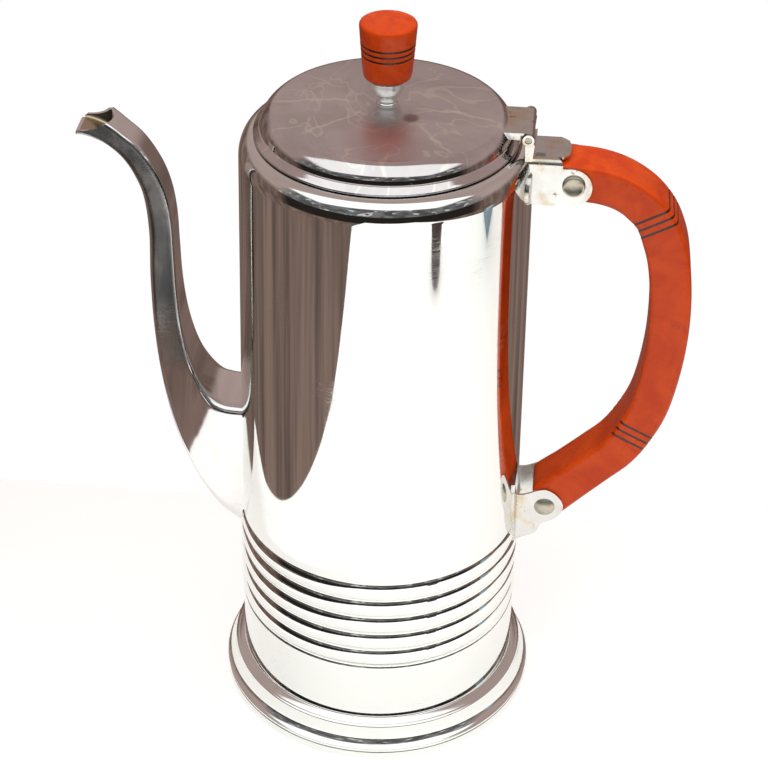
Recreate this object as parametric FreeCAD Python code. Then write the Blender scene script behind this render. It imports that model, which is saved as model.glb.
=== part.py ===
import FreeCAD, Part
import math
import os
from FreeCAD import Vector

# A chrome-plated coffee pot: a tall spun body with a swan-neck spout on the -X side, a hinged lid, and a
# cast resin handle between two riveted brackets on the +X side. Millimetres, +Z up, with the origin on the
# body's axis at the table.

# ---- sheet metal ----
BODY_WALL = 0.9
SPOUT_WALL = 0.9
LID_WALL = 0.8
LEAF_WALL = 0.7
BRACKET_WALL = 0.8
LIFT = 0.35                      # air between the lid's rim and the body's shoulder

# ---- body ----
WALL_LOW_R = 50.3                # plain wall under the ribs
WALL_RIB_R = 49.95               # where the plain wall starts again above the ribs
WALL_TOP_R = 48.05
BODY_FLOOR_Z = 8.0
RIB_Z = 38.5
RIB_PITCH = 7.55
RIB_COUNT = 5
RIB_VALLEY_R = 49.55
RIB_CREST_R = 50.7
RIB_LEAD = 0.6                   # the short slope from the plain wall into the first and last valley
SHOULDER_Z = 217.4               # where the wall starts to turn in
MOUTH_Z = 225.3
MOUTH_R = 42.2
NECK_DEPTH = 5.0                 # the mouth's edge is turned down inside by this much

# ---- pouring holes behind the spout ----
HOLE_R = 1.6
HOLE_PITCH = 5.2
HOLE_ROWS = 6
HOLE_LOW_Z = 83.0

# ---- foot ----
FOOT_R = 57.2
FOOT_TOP_Z = 14.9
FOOT_COVE = ((50.45, 14.4), (50.9, 14.05))   # the hollow curve from the wall onto the step
FOOT_STEP = ((52.5, 12.75), (52.68, 12.45))  # the step's sloping face ends here
FOOT_FLARE = [(52.66, 12.2), (52.85, 10.2), (53.2, 8.4), (53.75, 6.8), (54.6, 5.4), (55.6, 4.35), (56.5, 3.7)]
FOOT_EDGE = (57.05, 3.2)
FOOT_LIP_Z = 2.6                 # the upright lip runs from here down to the table
FOOT_WALL = 1.0
FOOT_UNDER_Z = 12.8              # underside of the step
FOOT_HEM_R = 54.2

# ---- lid ----
LID_TOP_Z = 236.6
LID_DOME_R = 262.6               # the dome is part of a ball of this radius
LID_SIDE = [(37.0, 233.98), (37.75, 233.55), (38.95, 232.45), (39.95, 231.2), (40.55, 230.1),
            (40.8, 229.2), (40.9, 228.6)]
RIM_FILLET = (41.03, 228.33)
RIM_SLOPE = ((41.35, 228.15), (42.75, 226.75))
RIM_EDGE = (43.2, 226.3)         # outermost point of the rim's round edge
RIM_UNDER_R = 42.8
SKIRT_TOP_R = 41.5
SKIRT_LOW_R = 41.0
SKIRT_LOW_Z = 221.3
SKIRT_WALL = 0.7

# ---- knob ----
KNOB_LOW_Z = 244.8
KNOB_TOP_Z = 264.3
KNOB_TOP_R = 9.35
KNOB_LOW_R = 8.05
KNOB_SEAT_R = 6.4
KNOB_GROOVES_Z = (257.35, 255.45, 253.55)
GROOVE_DEPTH = 0.5
KNOB_GROOVE_WIDTH = 0.75
FERRULE_BOWL = (3.3, (5.35, 238.5), (6.2, 241.4))  # foot radius, a point on the way, and the widest line
FERRULE_GROOVES_Z = (242.3, 243.6)
FERRULE_GROOVE = 0.25            # depth and half width of each V groove
FERRULE_TOP_R = 5.8
SCREW_R = 1.6
SCREW_HEAD_R = 3.6
SCREW_HEAD_H = 1.8
SCREW_BITE = 11.0                # how far the screw reaches into the knob
WASHER_R = 4.6
WASHER_H = 0.8

# ---- hinge ----
PIN_X = 46.0
PIN_Z = 230.6
PIN_R = 1.2
PIN_HALF = 10.0
PIN_CLEARANCE = 0.06
KNUCKLE_R = 1.9
LEAF_HALF = 9.2
LEAF_START_X = 36.0
LEAF_LIP = 1.7                   # depth of the turned-down lips on the leaf's two edges
LEAF_LIP_END_X = 43.4
EAR_INNER_Y = 9.55
EAR_OUTER_Y = 10.35
EAR_LEG = ((45.3, 223.2), (47.6, 223.2), (48.1, 229.0), (47.0, 230.6), (45.0, 230.6))
HINGE_FOOT_X = (46.2, 48.6)
HINGE_TONGUE = (51.8, 5.5)       # end and half width of the tongue soldered onto the upper bracket
HINGE_FOOT_H = 0.8

# ---- handle ----
HANDLE_HALF = 8.0
HANDLE_ROUND = 1.7
HANDLE_END_X = 51.0
HANDLE_TOP = [(62.0, 221.2), (74.7, 219.4), (84.4, 214.9), (93.0, 207.0), (99.3, 195.4), (102.6, 178.5),
              (103.6, 160.0), (102.0, 140.5), (98.3, 123.0), (91.2, 108.0), (82.5, 97.8)]
HANDLE_INNER = [(75.0, 108.9), (81.9, 118.6), (86.9, 131.0), (89.6, 147.0), (89.9, 163.0), (88.6, 179.5),
                (85.2, 193.3), (79.3, 202.9), (72.0, 206.8), (65.0, 207.8)]
HANDLE_LOW_CORNER = (64.6, 79.2)
HANDLE_LOW_BELLY = (60.0, 77.5)
HANDLE_HEEL = (55.6, 80.2)
HANDLE_LOW_END = (55.6, 91.0)
LINE_WIDTH = 0.9
LINE_PITCH = 2.75
LINE_DEPTH = 0.5
LINE_CORE_X = 6.1                 # from a line's centre to the bottom of its cut on the outer face
UPPER_LINES = ((88.7, 201.7), 29.0)          # middle line's centre and its direction in degrees
LOWER_LINES = ((88.2, 116.7), -27.2)

# ---- brackets and rivets ----
BRACKET_INNER = 8.05
PLATE_TOP_Z = 223.5
PLATE_X = (44.0, 57.5)
PLATE_NOSE = (59.9, 5.0)                     # the plate's rounded nose: its end, and its half width there
UPPER_EAR_X = 47.0
UPPER_EAR_Z = (206.9, 220.4)
UPPER_EAR_END = (60.6, 6.75)                 # centre and radius of the ear's round end
UPPER_LOBE = ((206.2, 218.6), 13.2)          # heights and reach of the lobe on the body
LOWER_EAR_TOP = [(49.0, 88.4), (53.6, 89.0), (56.6, 90.4), (59.7, 91.2)]
LOWER_EAR_FRONT = [(59.7, 91.2), (64.4, 88.2), (66.3, 83.9), (63.4, 78.6), (59.9, 76.7)]
LOWER_EAR_FOOT = [(59.9, 76.7), (58.3, 74.9), (57.3, 72.2), (54.4, 70.2), (49.0, 66.4)]
LOWER_LOBE = [(-8.1, 67.2), (-9.6, 68.6), (-11.9, 78.0), (-13.0, 84.0), (-13.1, 91.5), (-12.4, 95.0),
              (-10.6, 91.0), (-8.1, 88.6)]
UPPER_RIVET = (61.4, 214.5)
LOWER_RIVET = (59.7, 83.7)
RIVET_R = 2.0
RIVET_HEAD_R = 3.7
RIVET_HEAD_H = 1.3
RIVET_DISH = 0.8

# ---- spout ----
# Stations from the root to the tip: upper line, lower line, width across, upper and lower corner radius.
SPOUT_STATIONS = [
    ((-38.0, 119.9), (-38.0, 63.0), 25.0, 3.0, 6.0),
    ((-49.5, 119.9), (-49.5, 67.0), 25.0, 3.0, 6.0),
    ((-54.5, 120.3), (-56.5, 73.4), 24.6, 2.8, 6.0),
    ((-58.6, 122.2), (-62.6, 82.0), 23.5, 2.6, 5.8),
    ((-62.3, 127.0), (-67.4, 91.6), 21.6, 2.4, 5.4),
    ((-65.3, 133.5), (-71.7, 102.5), 19.0, 2.2, 5.0),
    ((-67.6, 142.0), (-75.2, 115.8), 16.8, 2.0, 4.6),
    ((-69.2, 152.0), (-77.8, 132.0), 14.8, 1.9, 4.0),
    ((-70.1, 164.0), (-79.2, 149.5), 13.2, 1.8, 3.4),
    ((-70.4, 177.0), (-79.5, 167.0), 12.3, 1.7, 3.0),
    ((-70.7, 188.8), (-79.1, 184.3), 12.0, 1.6, 2.8),
    ((-72.0, 198.8), (-80.2, 198.0), 12.0, 1.6, 2.6),
    ((-74.9, 207.8), (-82.9, 206.3), 12.0, 1.6, 2.5),
    ((-80.0, 216.4), (-86.6, 212.6), 12.1, 1.6, 2.4),
    ((-86.0, 222.1), (-91.2, 217.0), 12.4, 1.6, 2.4),
    ((-91.5, 226.4), (-95.2, 219.2), 12.8, 1.6, 2.4),
    ((-97.5, 228.5), (-98.8, 220.4), 13.0, 1.6, 2.2),
    ((-104.0, 228.8), (-104.0, 220.6), 13.0, 1.6, 2.2),
]
LIP_RIM = [(-89.6, 225.2), (-91.3, 223.7), (-93.7, 222.9), (-97.0, 222.6), (-106.0, 222.2)]
LIP_END_X = -101.4
LIP_CORNER = 2.0


# ---- edges in the XZ plane, and solids from them ----
def at(x, z, y=0.0):
    """The point of a flat (x, z) outline, in space."""
    return Vector(x, y, z)


def line(start, end):
    """A straight edge between two (x, z) points."""
    return Part.LineSegment(at(*start), at(*end)).toShape()


def arc(start, via, end):
    """A circular edge from start to end, through via."""
    return Part.Arc(at(*start), at(*via), at(*end)).toShape()


def cap(edge, apex):
    """An arc from a rim point (radius, height) to the apex on the axis, on a sphere centred on that axis."""
    across, rise = edge[0], apex - edge[1]
    radius = (across * across + rise * rise) / (2 * rise)
    centre = apex - radius
    half = math.asin(across / abs(radius)) / 2
    return arc(edge, (abs(radius) * math.sin(half), centre + radius * math.cos(half)), (0, apex))


def curve(points):
    """A smooth edge through a few (x, z) points."""
    spline = Part.BSplineCurve()
    spline.interpolate([at(*point) for point in points])
    return spline.toShape()


def oval(centre, across, rise, start, end, steps=8):
    """A smooth edge on an ellipse, between two angles in degrees from the outward direction."""
    turns = [math.radians(start + (end - start) * step / steps) for step in range(steps + 1)]
    return curve([(centre[0] + across * math.cos(turn), centre[1] + rise * math.sin(turn)) for turn in turns])


def set_in(points, inset):
    """The points of an outline moved inwards, square to the line between their neighbours."""
    moved = []
    for index, (x, z) in enumerate(points):
        before, after = points[max(index - 1, 0)], points[min(index + 1, len(points) - 1)]
        across, fall = after[0] - before[0], before[1] - after[1]
        length = math.hypot(across, fall)
        moved.append((x - inset * fall / length, z - inset * across / length))
    return moved


def chain(points):
    """Straight edges from each point to the next."""
    return [line(start, end) for start, end in zip(points, points[1:])]


def turned(edges):
    """The solid turned about the Z axis from a closed outline of radius and height."""
    return Part.Face(Part.Wire(edges)).revolve(Vector(0, 0, 0), Vector(0, 0, 1), 360)


def slab(edges, low_y, high_y):
    """A flat plate: a closed (x, z) outline between two values of y."""
    face = Part.Face(Part.Wire(edges))
    face.translate(Vector(0, low_y, 0))
    return face.extrude(Vector(0, high_y - low_y, 0))


def box(low, high):
    """A block between two corners."""
    size = [high[axis] - low[axis] for axis in range(3)]
    return Part.makeBox(size[0], size[1], size[2], Vector(*low))


def bar(radius, low_y, high_y, centre):
    """A round bar along Y about an (x, z) centre."""
    return Part.makeCylinder(radius, high_y - low_y, at(centre[0], centre[1], low_y), Vector(0, 1, 0))


def mirrored(shape):
    """The same shape on the other side of the pot's middle plane."""
    return shape.mirror(Vector(0, 0, 0), Vector(0, 1, 0))


def rounded(shape, radius, picked):
    """The shape with the picked edges rounded."""
    return shape.makeFillet(radius, [edge for edge in shape.Edges if picked(edge)])


# ---- body ----
def rib_edges(inset):
    """The ribs as arcs that bulge outwards, with a sharp valley between each two, set in by inset."""
    edges = []
    for rib in range(RIB_COUNT):
        low = RIB_Z + rib * RIB_PITCH
        valley = RIB_VALLEY_R - inset
        edges.append(arc((valley, low), (RIB_CREST_R - inset, low + RIB_PITCH / 2), (valley, low + RIB_PITCH)))
    return edges


RIB_TOP_Z = RIB_Z + RIB_COUNT * RIB_PITCH


def wall_edges(inset):
    """The body's wall from its foot to the start of the shoulder, set in by inset."""
    low, high = RIB_Z - RIB_LEAD, RIB_TOP_Z + RIB_LEAD
    return (
        [line((WALL_LOW_R - inset, BODY_FLOOR_Z), (WALL_LOW_R - inset, low))]
        + [line((WALL_LOW_R - inset, low), (RIB_VALLEY_R - inset, RIB_Z))]
        + rib_edges(inset)
        + [line((RIB_VALLEY_R - inset, RIB_TOP_Z), (WALL_RIB_R - inset, high))]
        + [line((WALL_RIB_R - inset, high), (WALL_TOP_R - inset, SHOULDER_Z))]
    )


NECK_R = MOUTH_R + BODY_WALL
SHOULDER_RISE = MOUTH_Z - SHOULDER_Z


def body_outline(inset):
    """Wall and shoulder up to the neck, set in by inset."""
    shoulder = oval((NECK_R, SHOULDER_Z), WALL_TOP_R - NECK_R - inset, SHOULDER_RISE - inset, 0, 90)
    return wall_edges(inset) + [shoulder]


def body_block():
    """The body's outside as one solid block, to trim what is soldered onto it."""
    edges = body_outline(0)
    edges += chain([(NECK_R, MOUTH_Z), (0, MOUTH_Z), (0, BODY_FLOOR_Z), (WALL_LOW_R, BODY_FLOOR_Z)])
    return turned(edges)


def body_sleeve(thickness):
    """A skin of even thickness over the body's upper wall, down to the ribs."""
    edges = chain([(WALL_LOW_R + thickness, RIB_Z), (WALL_RIB_R + thickness, RIB_TOP_Z),
                   (WALL_TOP_R + thickness, SHOULDER_Z), (WALL_TOP_R - 2, SHOULDER_Z),
                   (WALL_LOW_R - 2, RIB_Z), (WALL_LOW_R + thickness, RIB_Z)])
    return turned(edges)


def body_shell():
    """The spun body: ribbed wall, rounded shoulder and turned-down neck, drilled behind the spout."""
    neck_low = MOUTH_Z - NECK_DEPTH
    edges = body_outline(0)
    edges.append(arc((NECK_R, MOUTH_Z), (MOUTH_R + 0.27, MOUTH_Z - 0.27), (MOUTH_R, MOUTH_Z - BODY_WALL)))
    edges += chain([(MOUTH_R, MOUTH_Z - BODY_WALL), (MOUTH_R, neck_low), (NECK_R, neck_low),
                    (NECK_R, MOUTH_Z - BODY_WALL)])
    edges += body_outline(BODY_WALL)
    edges.append(line((WALL_LOW_R - BODY_WALL, BODY_FLOOR_Z), (WALL_LOW_R, BODY_FLOOR_Z)))
    shell = turned(Part.__sortEdges__(edges))
    return shell.cut(Part.makeCompound(pouring_holes()))


def pouring_holes():
    """Staggered rows of small holes through the wall, inside the spout's root."""
    holes = []
    for row in range(HOLE_ROWS):
        count = 3 if row % 2 == 0 else 2
        for place in range(count):
            y = (place - (count - 1) / 2) * HOLE_PITCH
            z = HOLE_LOW_Z + row * HOLE_PITCH
            holes.append(Part.makeCylinder(HOLE_R, 10, Vector(-54, y, z), Vector(1, 0, 0)))
    return holes


def base_plate():
    """The flat bottom, with its edge turned down inside the wall."""
    radius = WALL_LOW_R - BODY_WALL
    top = BODY_FLOOR_Z + 3.5
    return turned(chain([(0, top - 1.2), (radius - 9, top - 1.2), (radius - 7, top), (radius, top),
                         (radius, BODY_FLOOR_Z), (radius - BODY_WALL, BODY_FLOOR_Z),
                         (radius - BODY_WALL, top - BODY_WALL), (radius - 6.6, top - BODY_WALL),
                         (radius - 8.6, top - 1.2 - BODY_WALL), (0, top - 1.2 - BODY_WALL), (0, top - 1.2)]))


def foot_ring():
    """The pressed foot: a cove and a step on the wall, then a hollow flare out to an upright lip and a hem."""
    inner = set_in(FOOT_FLARE, FOOT_WALL)
    cove, step = FOOT_COVE
    slope_end, crease = FOOT_STEP
    lip = FOOT_R - FOOT_WALL
    round_low = FOOT_WALL / 2
    edges = [
        line((WALL_LOW_R, FOOT_UNDER_Z), (WALL_LOW_R, FOOT_TOP_Z)),
        arc((WALL_LOW_R, FOOT_TOP_Z), cove, step),
        line(step, slope_end),
        line(slope_end, crease),
        line(crease, FOOT_FLARE[0]),
        curve(FOOT_FLARE),
        arc(FOOT_FLARE[-1], FOOT_EDGE, (FOOT_R, FOOT_LIP_Z)),
        line((FOOT_R, FOOT_LIP_Z), (FOOT_R, round_low)),
        arc((FOOT_R, round_low), (FOOT_R - 0.15, 0.15), (FOOT_R - round_low, 0)),
        line((FOOT_R - round_low, 0), (FOOT_HEM_R, 0)),
        curve(inner),
    ]
    edges += chain([(FOOT_HEM_R, 0), (FOOT_HEM_R, FOOT_WALL), (lip, FOOT_WALL), inner[-1]])
    edges += chain([inner[0], (inner[0][0], FOOT_UNDER_Z), (WALL_LOW_R, FOOT_UNDER_Z)])
    return turned(Part.__sortEdges__(edges))


# ---- spout ----
def spout_section(upper, lower, width, upper_round, lower_round, inset):
    """A rounded rectangle across the spout, from its lower line to its upper line, set in by inset."""
    low, high = at(*lower), at(*upper)
    rise = high.sub(low)
    height = rise.Length - 2 * inset
    rise.normalize()
    foot = low + rise * inset
    half = width / 2 - inset
    top_r = max(upper_round - inset, 0.5)
    low_r = max(lower_round - inset, 0.5)
    side = Vector(0, 1, 0)
    diagonal = 1 - math.sqrt(0.5)

    def spot(across, up):
        return foot + side * across + rise * up

    corners = [(half, height, -1, -1, top_r), (-half, height, 1, -1, top_r),
               (-half, 0, 1, 1, low_r), (half, 0, -1, 1, low_r)]
    ends = []
    for index, (across, up, inward, downward, radius) in enumerate(corners):
        level = spot(across + inward * radius, up)
        upright = spot(across, up + downward * radius)
        middle = spot(across + inward * radius * diagonal, up + downward * radius * diagonal)
        ends.append((upright, middle, level) if index % 2 == 0 else (level, middle, upright))
    edges = []
    for index, (start, middle, end) in enumerate(ends):
        edges.append(Part.Arc(start, middle, end).toShape())
        edges.append(Part.LineSegment(end, ends[(index + 1) % 4][0]).toShape())
    return Part.Wire(edges)


def spout_block(inset):
    """The spout as a solid, set in by inset."""
    return Part.makeLoft([spout_section(*station, inset) for station in SPOUT_STATIONS], True, False)


def lip_cutter():
    """Everything above the pouring lip's rim and past its end."""
    rim = curve(LIP_RIM)
    over = slab([rim] + chain([LIP_RIM[-1], (-106, 236), (-82, 236), LIP_RIM[0]]), -10, 10)
    half, end, corner = 6.5, LIP_END_X, LIP_CORNER
    nose = box((-110, -12, 214), (end + corner, 12, 232))
    keep = box((end, -half + corner, 213), (end + 3 * corner, half - corner, 233))
    for side in (-1, 1):
        keep = keep.fuse(Part.makeCylinder(corner, 20, Vector(end + corner, side * (half - corner), 213)))
    return over.fuse(nose.cut(keep))


def spout_piece(body):
    """The sheet-metal spout, trimmed to the body it is soldered to, with an open pouring lip."""
    tube = spout_block(0).cut(spout_block(SPOUT_WALL))
    return tube.cut(body).cut(lip_cutter())


# ---- lid ----
RIM_LOW_Z = MOUTH_Z + LIFT
LID_FOOT_R, LID_FOOT_Z = LID_SIDE[-1]


def dome_height(radius):
    """Height of the lid's dome at a radius."""
    return LID_TOP_Z - LID_DOME_R + math.sqrt(LID_DOME_R ** 2 - radius ** 2)


def lid_outline(inset):
    """The lid's dome and side as edges, set in by inset."""
    side = set_in(LID_SIDE, inset)
    middle = side[0][0] / 2
    return [arc((0, LID_TOP_Z - inset), (middle, dome_height(middle) - inset), side[0]), curve(side)]


def lid_shell():
    """The pressed lid: a shallow dome, a rounded side and a sloping rim with a round edge."""
    inner = set_in(LID_SIDE, LID_WALL)[-1]
    slope_top, slope_low = RIM_SLOPE
    edges = lid_outline(0)
    edges.append(arc(LID_SIDE[-1], RIM_FILLET, slope_top))
    edges.append(line(slope_top, slope_low))
    edges.append(arc(slope_low, RIM_EDGE, (RIM_UNDER_R, RIM_LOW_Z)))
    edges += chain([(RIM_UNDER_R, RIM_LOW_Z), (inner[0], RIM_LOW_Z), inner])
    edges += lid_outline(LID_WALL)
    edges.append(line((0, LID_TOP_Z), (0, LID_TOP_Z - LID_WALL)))
    shell = turned(Part.__sortEdges__(edges))
    return shell.cut(screw_hole())


def lid_block():
    """The lid's outside as one solid block, to trim the hinge leaf."""
    edges = lid_outline(0) + chain([LID_SIDE[-1], (0, LID_FOOT_Z), (0, LID_TOP_Z)])
    return turned(edges)


def lid_skirt():
    """The ring under the lid that drops into the mouth and keeps the lid central."""
    inner_top, inner_low = SKIRT_TOP_R - SKIRT_WALL, SKIRT_LOW_R - SKIRT_WALL
    return turned(chain([(SKIRT_TOP_R, RIM_LOW_Z), (inner_top, RIM_LOW_Z), (inner_low, SKIRT_LOW_Z),
                         (SKIRT_LOW_R, SKIRT_LOW_Z), (SKIRT_TOP_R, RIM_LOW_Z)]))


# ---- knob ----
def screw_hole():
    """The hole that the knob's screw passes through."""
    return Part.makeCylinder(SCREW_R, SCREW_BITE + 20, Vector(0, 0, KNOB_LOW_Z - 20))


def knob_body():
    """The knob's solid form before its grooves: flat top, slight taper and a rounded lower edge."""
    return turned(
        chain([(0, KNOB_LOW_Z), (KNOB_SEAT_R, KNOB_LOW_Z)])
        + [arc((KNOB_SEAT_R, KNOB_LOW_Z), (7.7, KNOB_LOW_Z + 1.0), (KNOB_LOW_R, KNOB_LOW_Z + 3.2)),
           line((KNOB_LOW_R, KNOB_LOW_Z + 3.2), (KNOB_TOP_R, KNOB_TOP_Z - 0.8)),
           arc((KNOB_TOP_R, KNOB_TOP_Z - 0.8), (KNOB_TOP_R - 0.25, KNOB_TOP_Z - 0.2), (KNOB_TOP_R - 0.9, KNOB_TOP_Z))]
        + chain([(KNOB_TOP_R - 0.9, KNOB_TOP_Z), (0, KNOB_TOP_Z), (0, KNOB_LOW_Z)])
    )


def knob_rings():
    """The enamel in the knob's three grooves, one ring each."""
    rings = []
    for middle in KNOB_GROOVES_Z:
        band = Part.makeCylinder(KNOB_TOP_R + 1, KNOB_GROOVE_WIDTH, Vector(0, 0, middle - KNOB_GROOVE_WIDTH / 2))
        taper = (KNOB_TOP_R - KNOB_LOW_R) / (KNOB_TOP_Z - KNOB_LOW_Z - 4.0)
        radius = KNOB_LOW_R + taper * (middle - KNOB_LOW_Z - 3.2)
        core = Part.makeCylinder(radius - GROOVE_DEPTH, 4, Vector(0, 0, middle - 2))
        rings.append(band.common(knob_body()).cut(core))
    return rings


def lid_knob():
    """The turned resin knob, grooved, with a blind hole for its screw."""
    return knob_body().cut(Part.makeCompound(knob_rings())).cut(screw_hole())


def knob_ferrule():
    """The turned cup under the knob: a bowl on the lid, with two fine grooves round its upper part."""
    foot_r, via, widest = FERRULE_BOWL
    foot = (foot_r, dome_height(foot_r))
    side = [widest]
    for middle in FERRULE_GROOVES_Z:
        side += [(widest[0], middle - FERRULE_GROOVE), (widest[0] - FERRULE_GROOVE, middle),
                 (widest[0], middle + FERRULE_GROOVE)]
    side += [(widest[0], KNOB_LOW_Z - 0.5), (FERRULE_TOP_R, KNOB_LOW_Z), (0, KNOB_LOW_Z), (0, LID_TOP_Z)]
    base = arc((0, LID_TOP_Z), (foot_r / 2, dome_height(foot_r / 2)), foot)
    return turned([base, arc(foot, via, widest)] + chain(side)).cut(screw_hole())


def knob_screw():
    """The screw that holds the knob: a domed head inside the lid and a plain shank."""
    seat = LID_TOP_Z - LID_WALL - WASHER_H
    shank = Part.makeCylinder(SCREW_R, KNOB_LOW_Z + SCREW_BITE - seat, Vector(0, 0, seat))
    head = turned([
        line((0, seat), (SCREW_HEAD_R, seat)),
        cap((SCREW_HEAD_R, seat), seat - SCREW_HEAD_H),
        line((0, seat - SCREW_HEAD_H), (0, seat)),
    ])
    slot = box((-SCREW_HEAD_R, -0.4, seat - SCREW_HEAD_H - 1), (SCREW_HEAD_R, 0.4, seat - SCREW_HEAD_H + 0.8))
    return shank.fuse(head).removeSplitter().cut(slot)


def knob_washer():
    """The flat washer between the screw's head and the underside of the lid, dished to fit the dome."""
    top = LID_TOP_Z - LID_WALL
    block = Part.makeCylinder(WASHER_R, WASHER_H, Vector(0, 0, top - WASHER_H))
    inner = set_in(LID_SIDE, LID_WALL)[-1]
    dome = turned(lid_outline(LID_WALL) + chain([inner, (0, inner[1]), (0, top)]))
    return block.common(dome).cut(screw_hole())


# ---- hinge ----
def hinge_leaf(lid):
    """The lid's hinge leaf: a plate with turned-down lips, soldered to the lid and curled round the pin."""
    top = PIN_Z + KNUCKLE_R
    plate = box((LEAF_START_X, -LEAF_HALF, top - LEAF_WALL), (PIN_X, LEAF_HALF, top))
    lips = [box((LEAF_START_X, side - LEAF_WALL / 2, top - LEAF_LIP - LEAF_WALL),
                (LEAF_LIP_END_X, side + LEAF_WALL / 2, top - LEAF_WALL / 2))
            for side in (-LEAF_HALF + LEAF_WALL / 2, LEAF_HALF - LEAF_WALL / 2)]
    knuckle = bar(KNUCKLE_R, -LEAF_HALF, LEAF_HALF, (PIN_X, PIN_Z))
    leaf = plate.fuse(lips + [knuckle]).removeSplitter()
    bore = bar(PIN_R + PIN_CLEARANCE, -LEAF_HALF - 1, LEAF_HALF + 1, (PIN_X, PIN_Z))
    return leaf.cut(bore).cut(lid)


def hinge_pin():
    """The hinge pin, held fast in the two ears."""
    return bar(PIN_R, -PIN_HALF, PIN_HALF, (PIN_X, PIN_Z))


def hinge_bracket(body):
    """The body's half of the hinge: two eyed ears on a foot that is soldered to the upper bracket."""
    eye = bar(KNUCKLE_R, EAR_INNER_Y, EAR_OUTER_Y, (PIN_X, PIN_Z))
    leg = slab(chain(list(EAR_LEG) + [EAR_LEG[0]]), EAR_INNER_Y, EAR_OUTER_Y)
    ear = eye.fuse(leg)
    start, end = HINGE_FOOT_X
    tongue_end, tongue_half = HINGE_TONGUE
    foot_top = PLATE_TOP_Z + HINGE_FOOT_H
    foot = box((start, -EAR_OUTER_Y, PLATE_TOP_Z), (end, EAR_OUTER_Y, foot_top))
    tongue = box((end, -tongue_half, PLATE_TOP_Z), (tongue_end, tongue_half, foot_top))
    piece = foot.fuse([tongue, ear, mirrored(ear)]).removeSplitter()
    return piece.cut(bar(PIN_R, -20, 20, (PIN_X, PIN_Z))).cut(body)


# ---- handle ----
def handle_outline():
    """The handle's closed side outline, from its top end round to its lower end and back."""
    top, low = HANDLE_TOP[0][1], HANDLE_INNER[-1][1]
    return [
        line((HANDLE_END_X, top), HANDLE_TOP[0]),
        curve(HANDLE_TOP),
        line(HANDLE_TOP[-1], HANDLE_LOW_CORNER),
        arc(HANDLE_LOW_CORNER, HANDLE_LOW_BELLY, HANDLE_HEEL),
        line(HANDLE_HEEL, HANDLE_LOW_END),
        line(HANDLE_LOW_END, HANDLE_INNER[0]),
        curve(HANDLE_INNER),
        line(HANDLE_INNER[-1], (HANDLE_END_X, low)),
        line((HANDLE_END_X, low), (HANDLE_END_X, top)),
    ]


def handle_blank():
    """The handle before its lines: the outline cut from flat stock, with its long edges rounded."""
    blank = slab(handle_outline(), -HANDLE_HALF, HANDLE_HALF)

    def long_edge(edge):
        return all(abs(abs(vertex.Y) - HANDLE_HALF) < 0.01 for vertex in edge.Vertexes) and abs(
            edge.Vertexes[0].Y - edge.Vertexes[-1].Y) < 0.01

    return rounded(blank, HANDLE_ROUND, long_edge)


def handle_lines(blank, place):
    """The enamel in a group of three saw cuts that cross the front, outer and back faces."""
    (x, z), direction = place
    strips = []
    for step in (-1, 0, 1):
        strip = box((-12, -12, -LINE_WIDTH / 2), (12, 12, LINE_WIDTH / 2))
        strip.translate(Vector(0, 0, step * LINE_PITCH))
        core = box((-12, -HANDLE_HALF + LINE_DEPTH, -10), (LINE_CORE_X, HANDLE_HALF - LINE_DEPTH, 10))
        core = rounded(core, HANDLE_ROUND - LINE_DEPTH / 2, lambda edge: all(
            vertex.X > 0 for vertex in edge.Vertexes) and abs(edge.Vertexes[0].Z - edge.Vertexes[-1].Z) > 1)
        strip = strip.cut(core)
        strip.rotate(Vector(0, 0, 0), Vector(0, 1, 0), -direction)
        strip.translate(Vector(x, 0, z))
        strips.append(strip.common(blank))
    return strips


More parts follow.
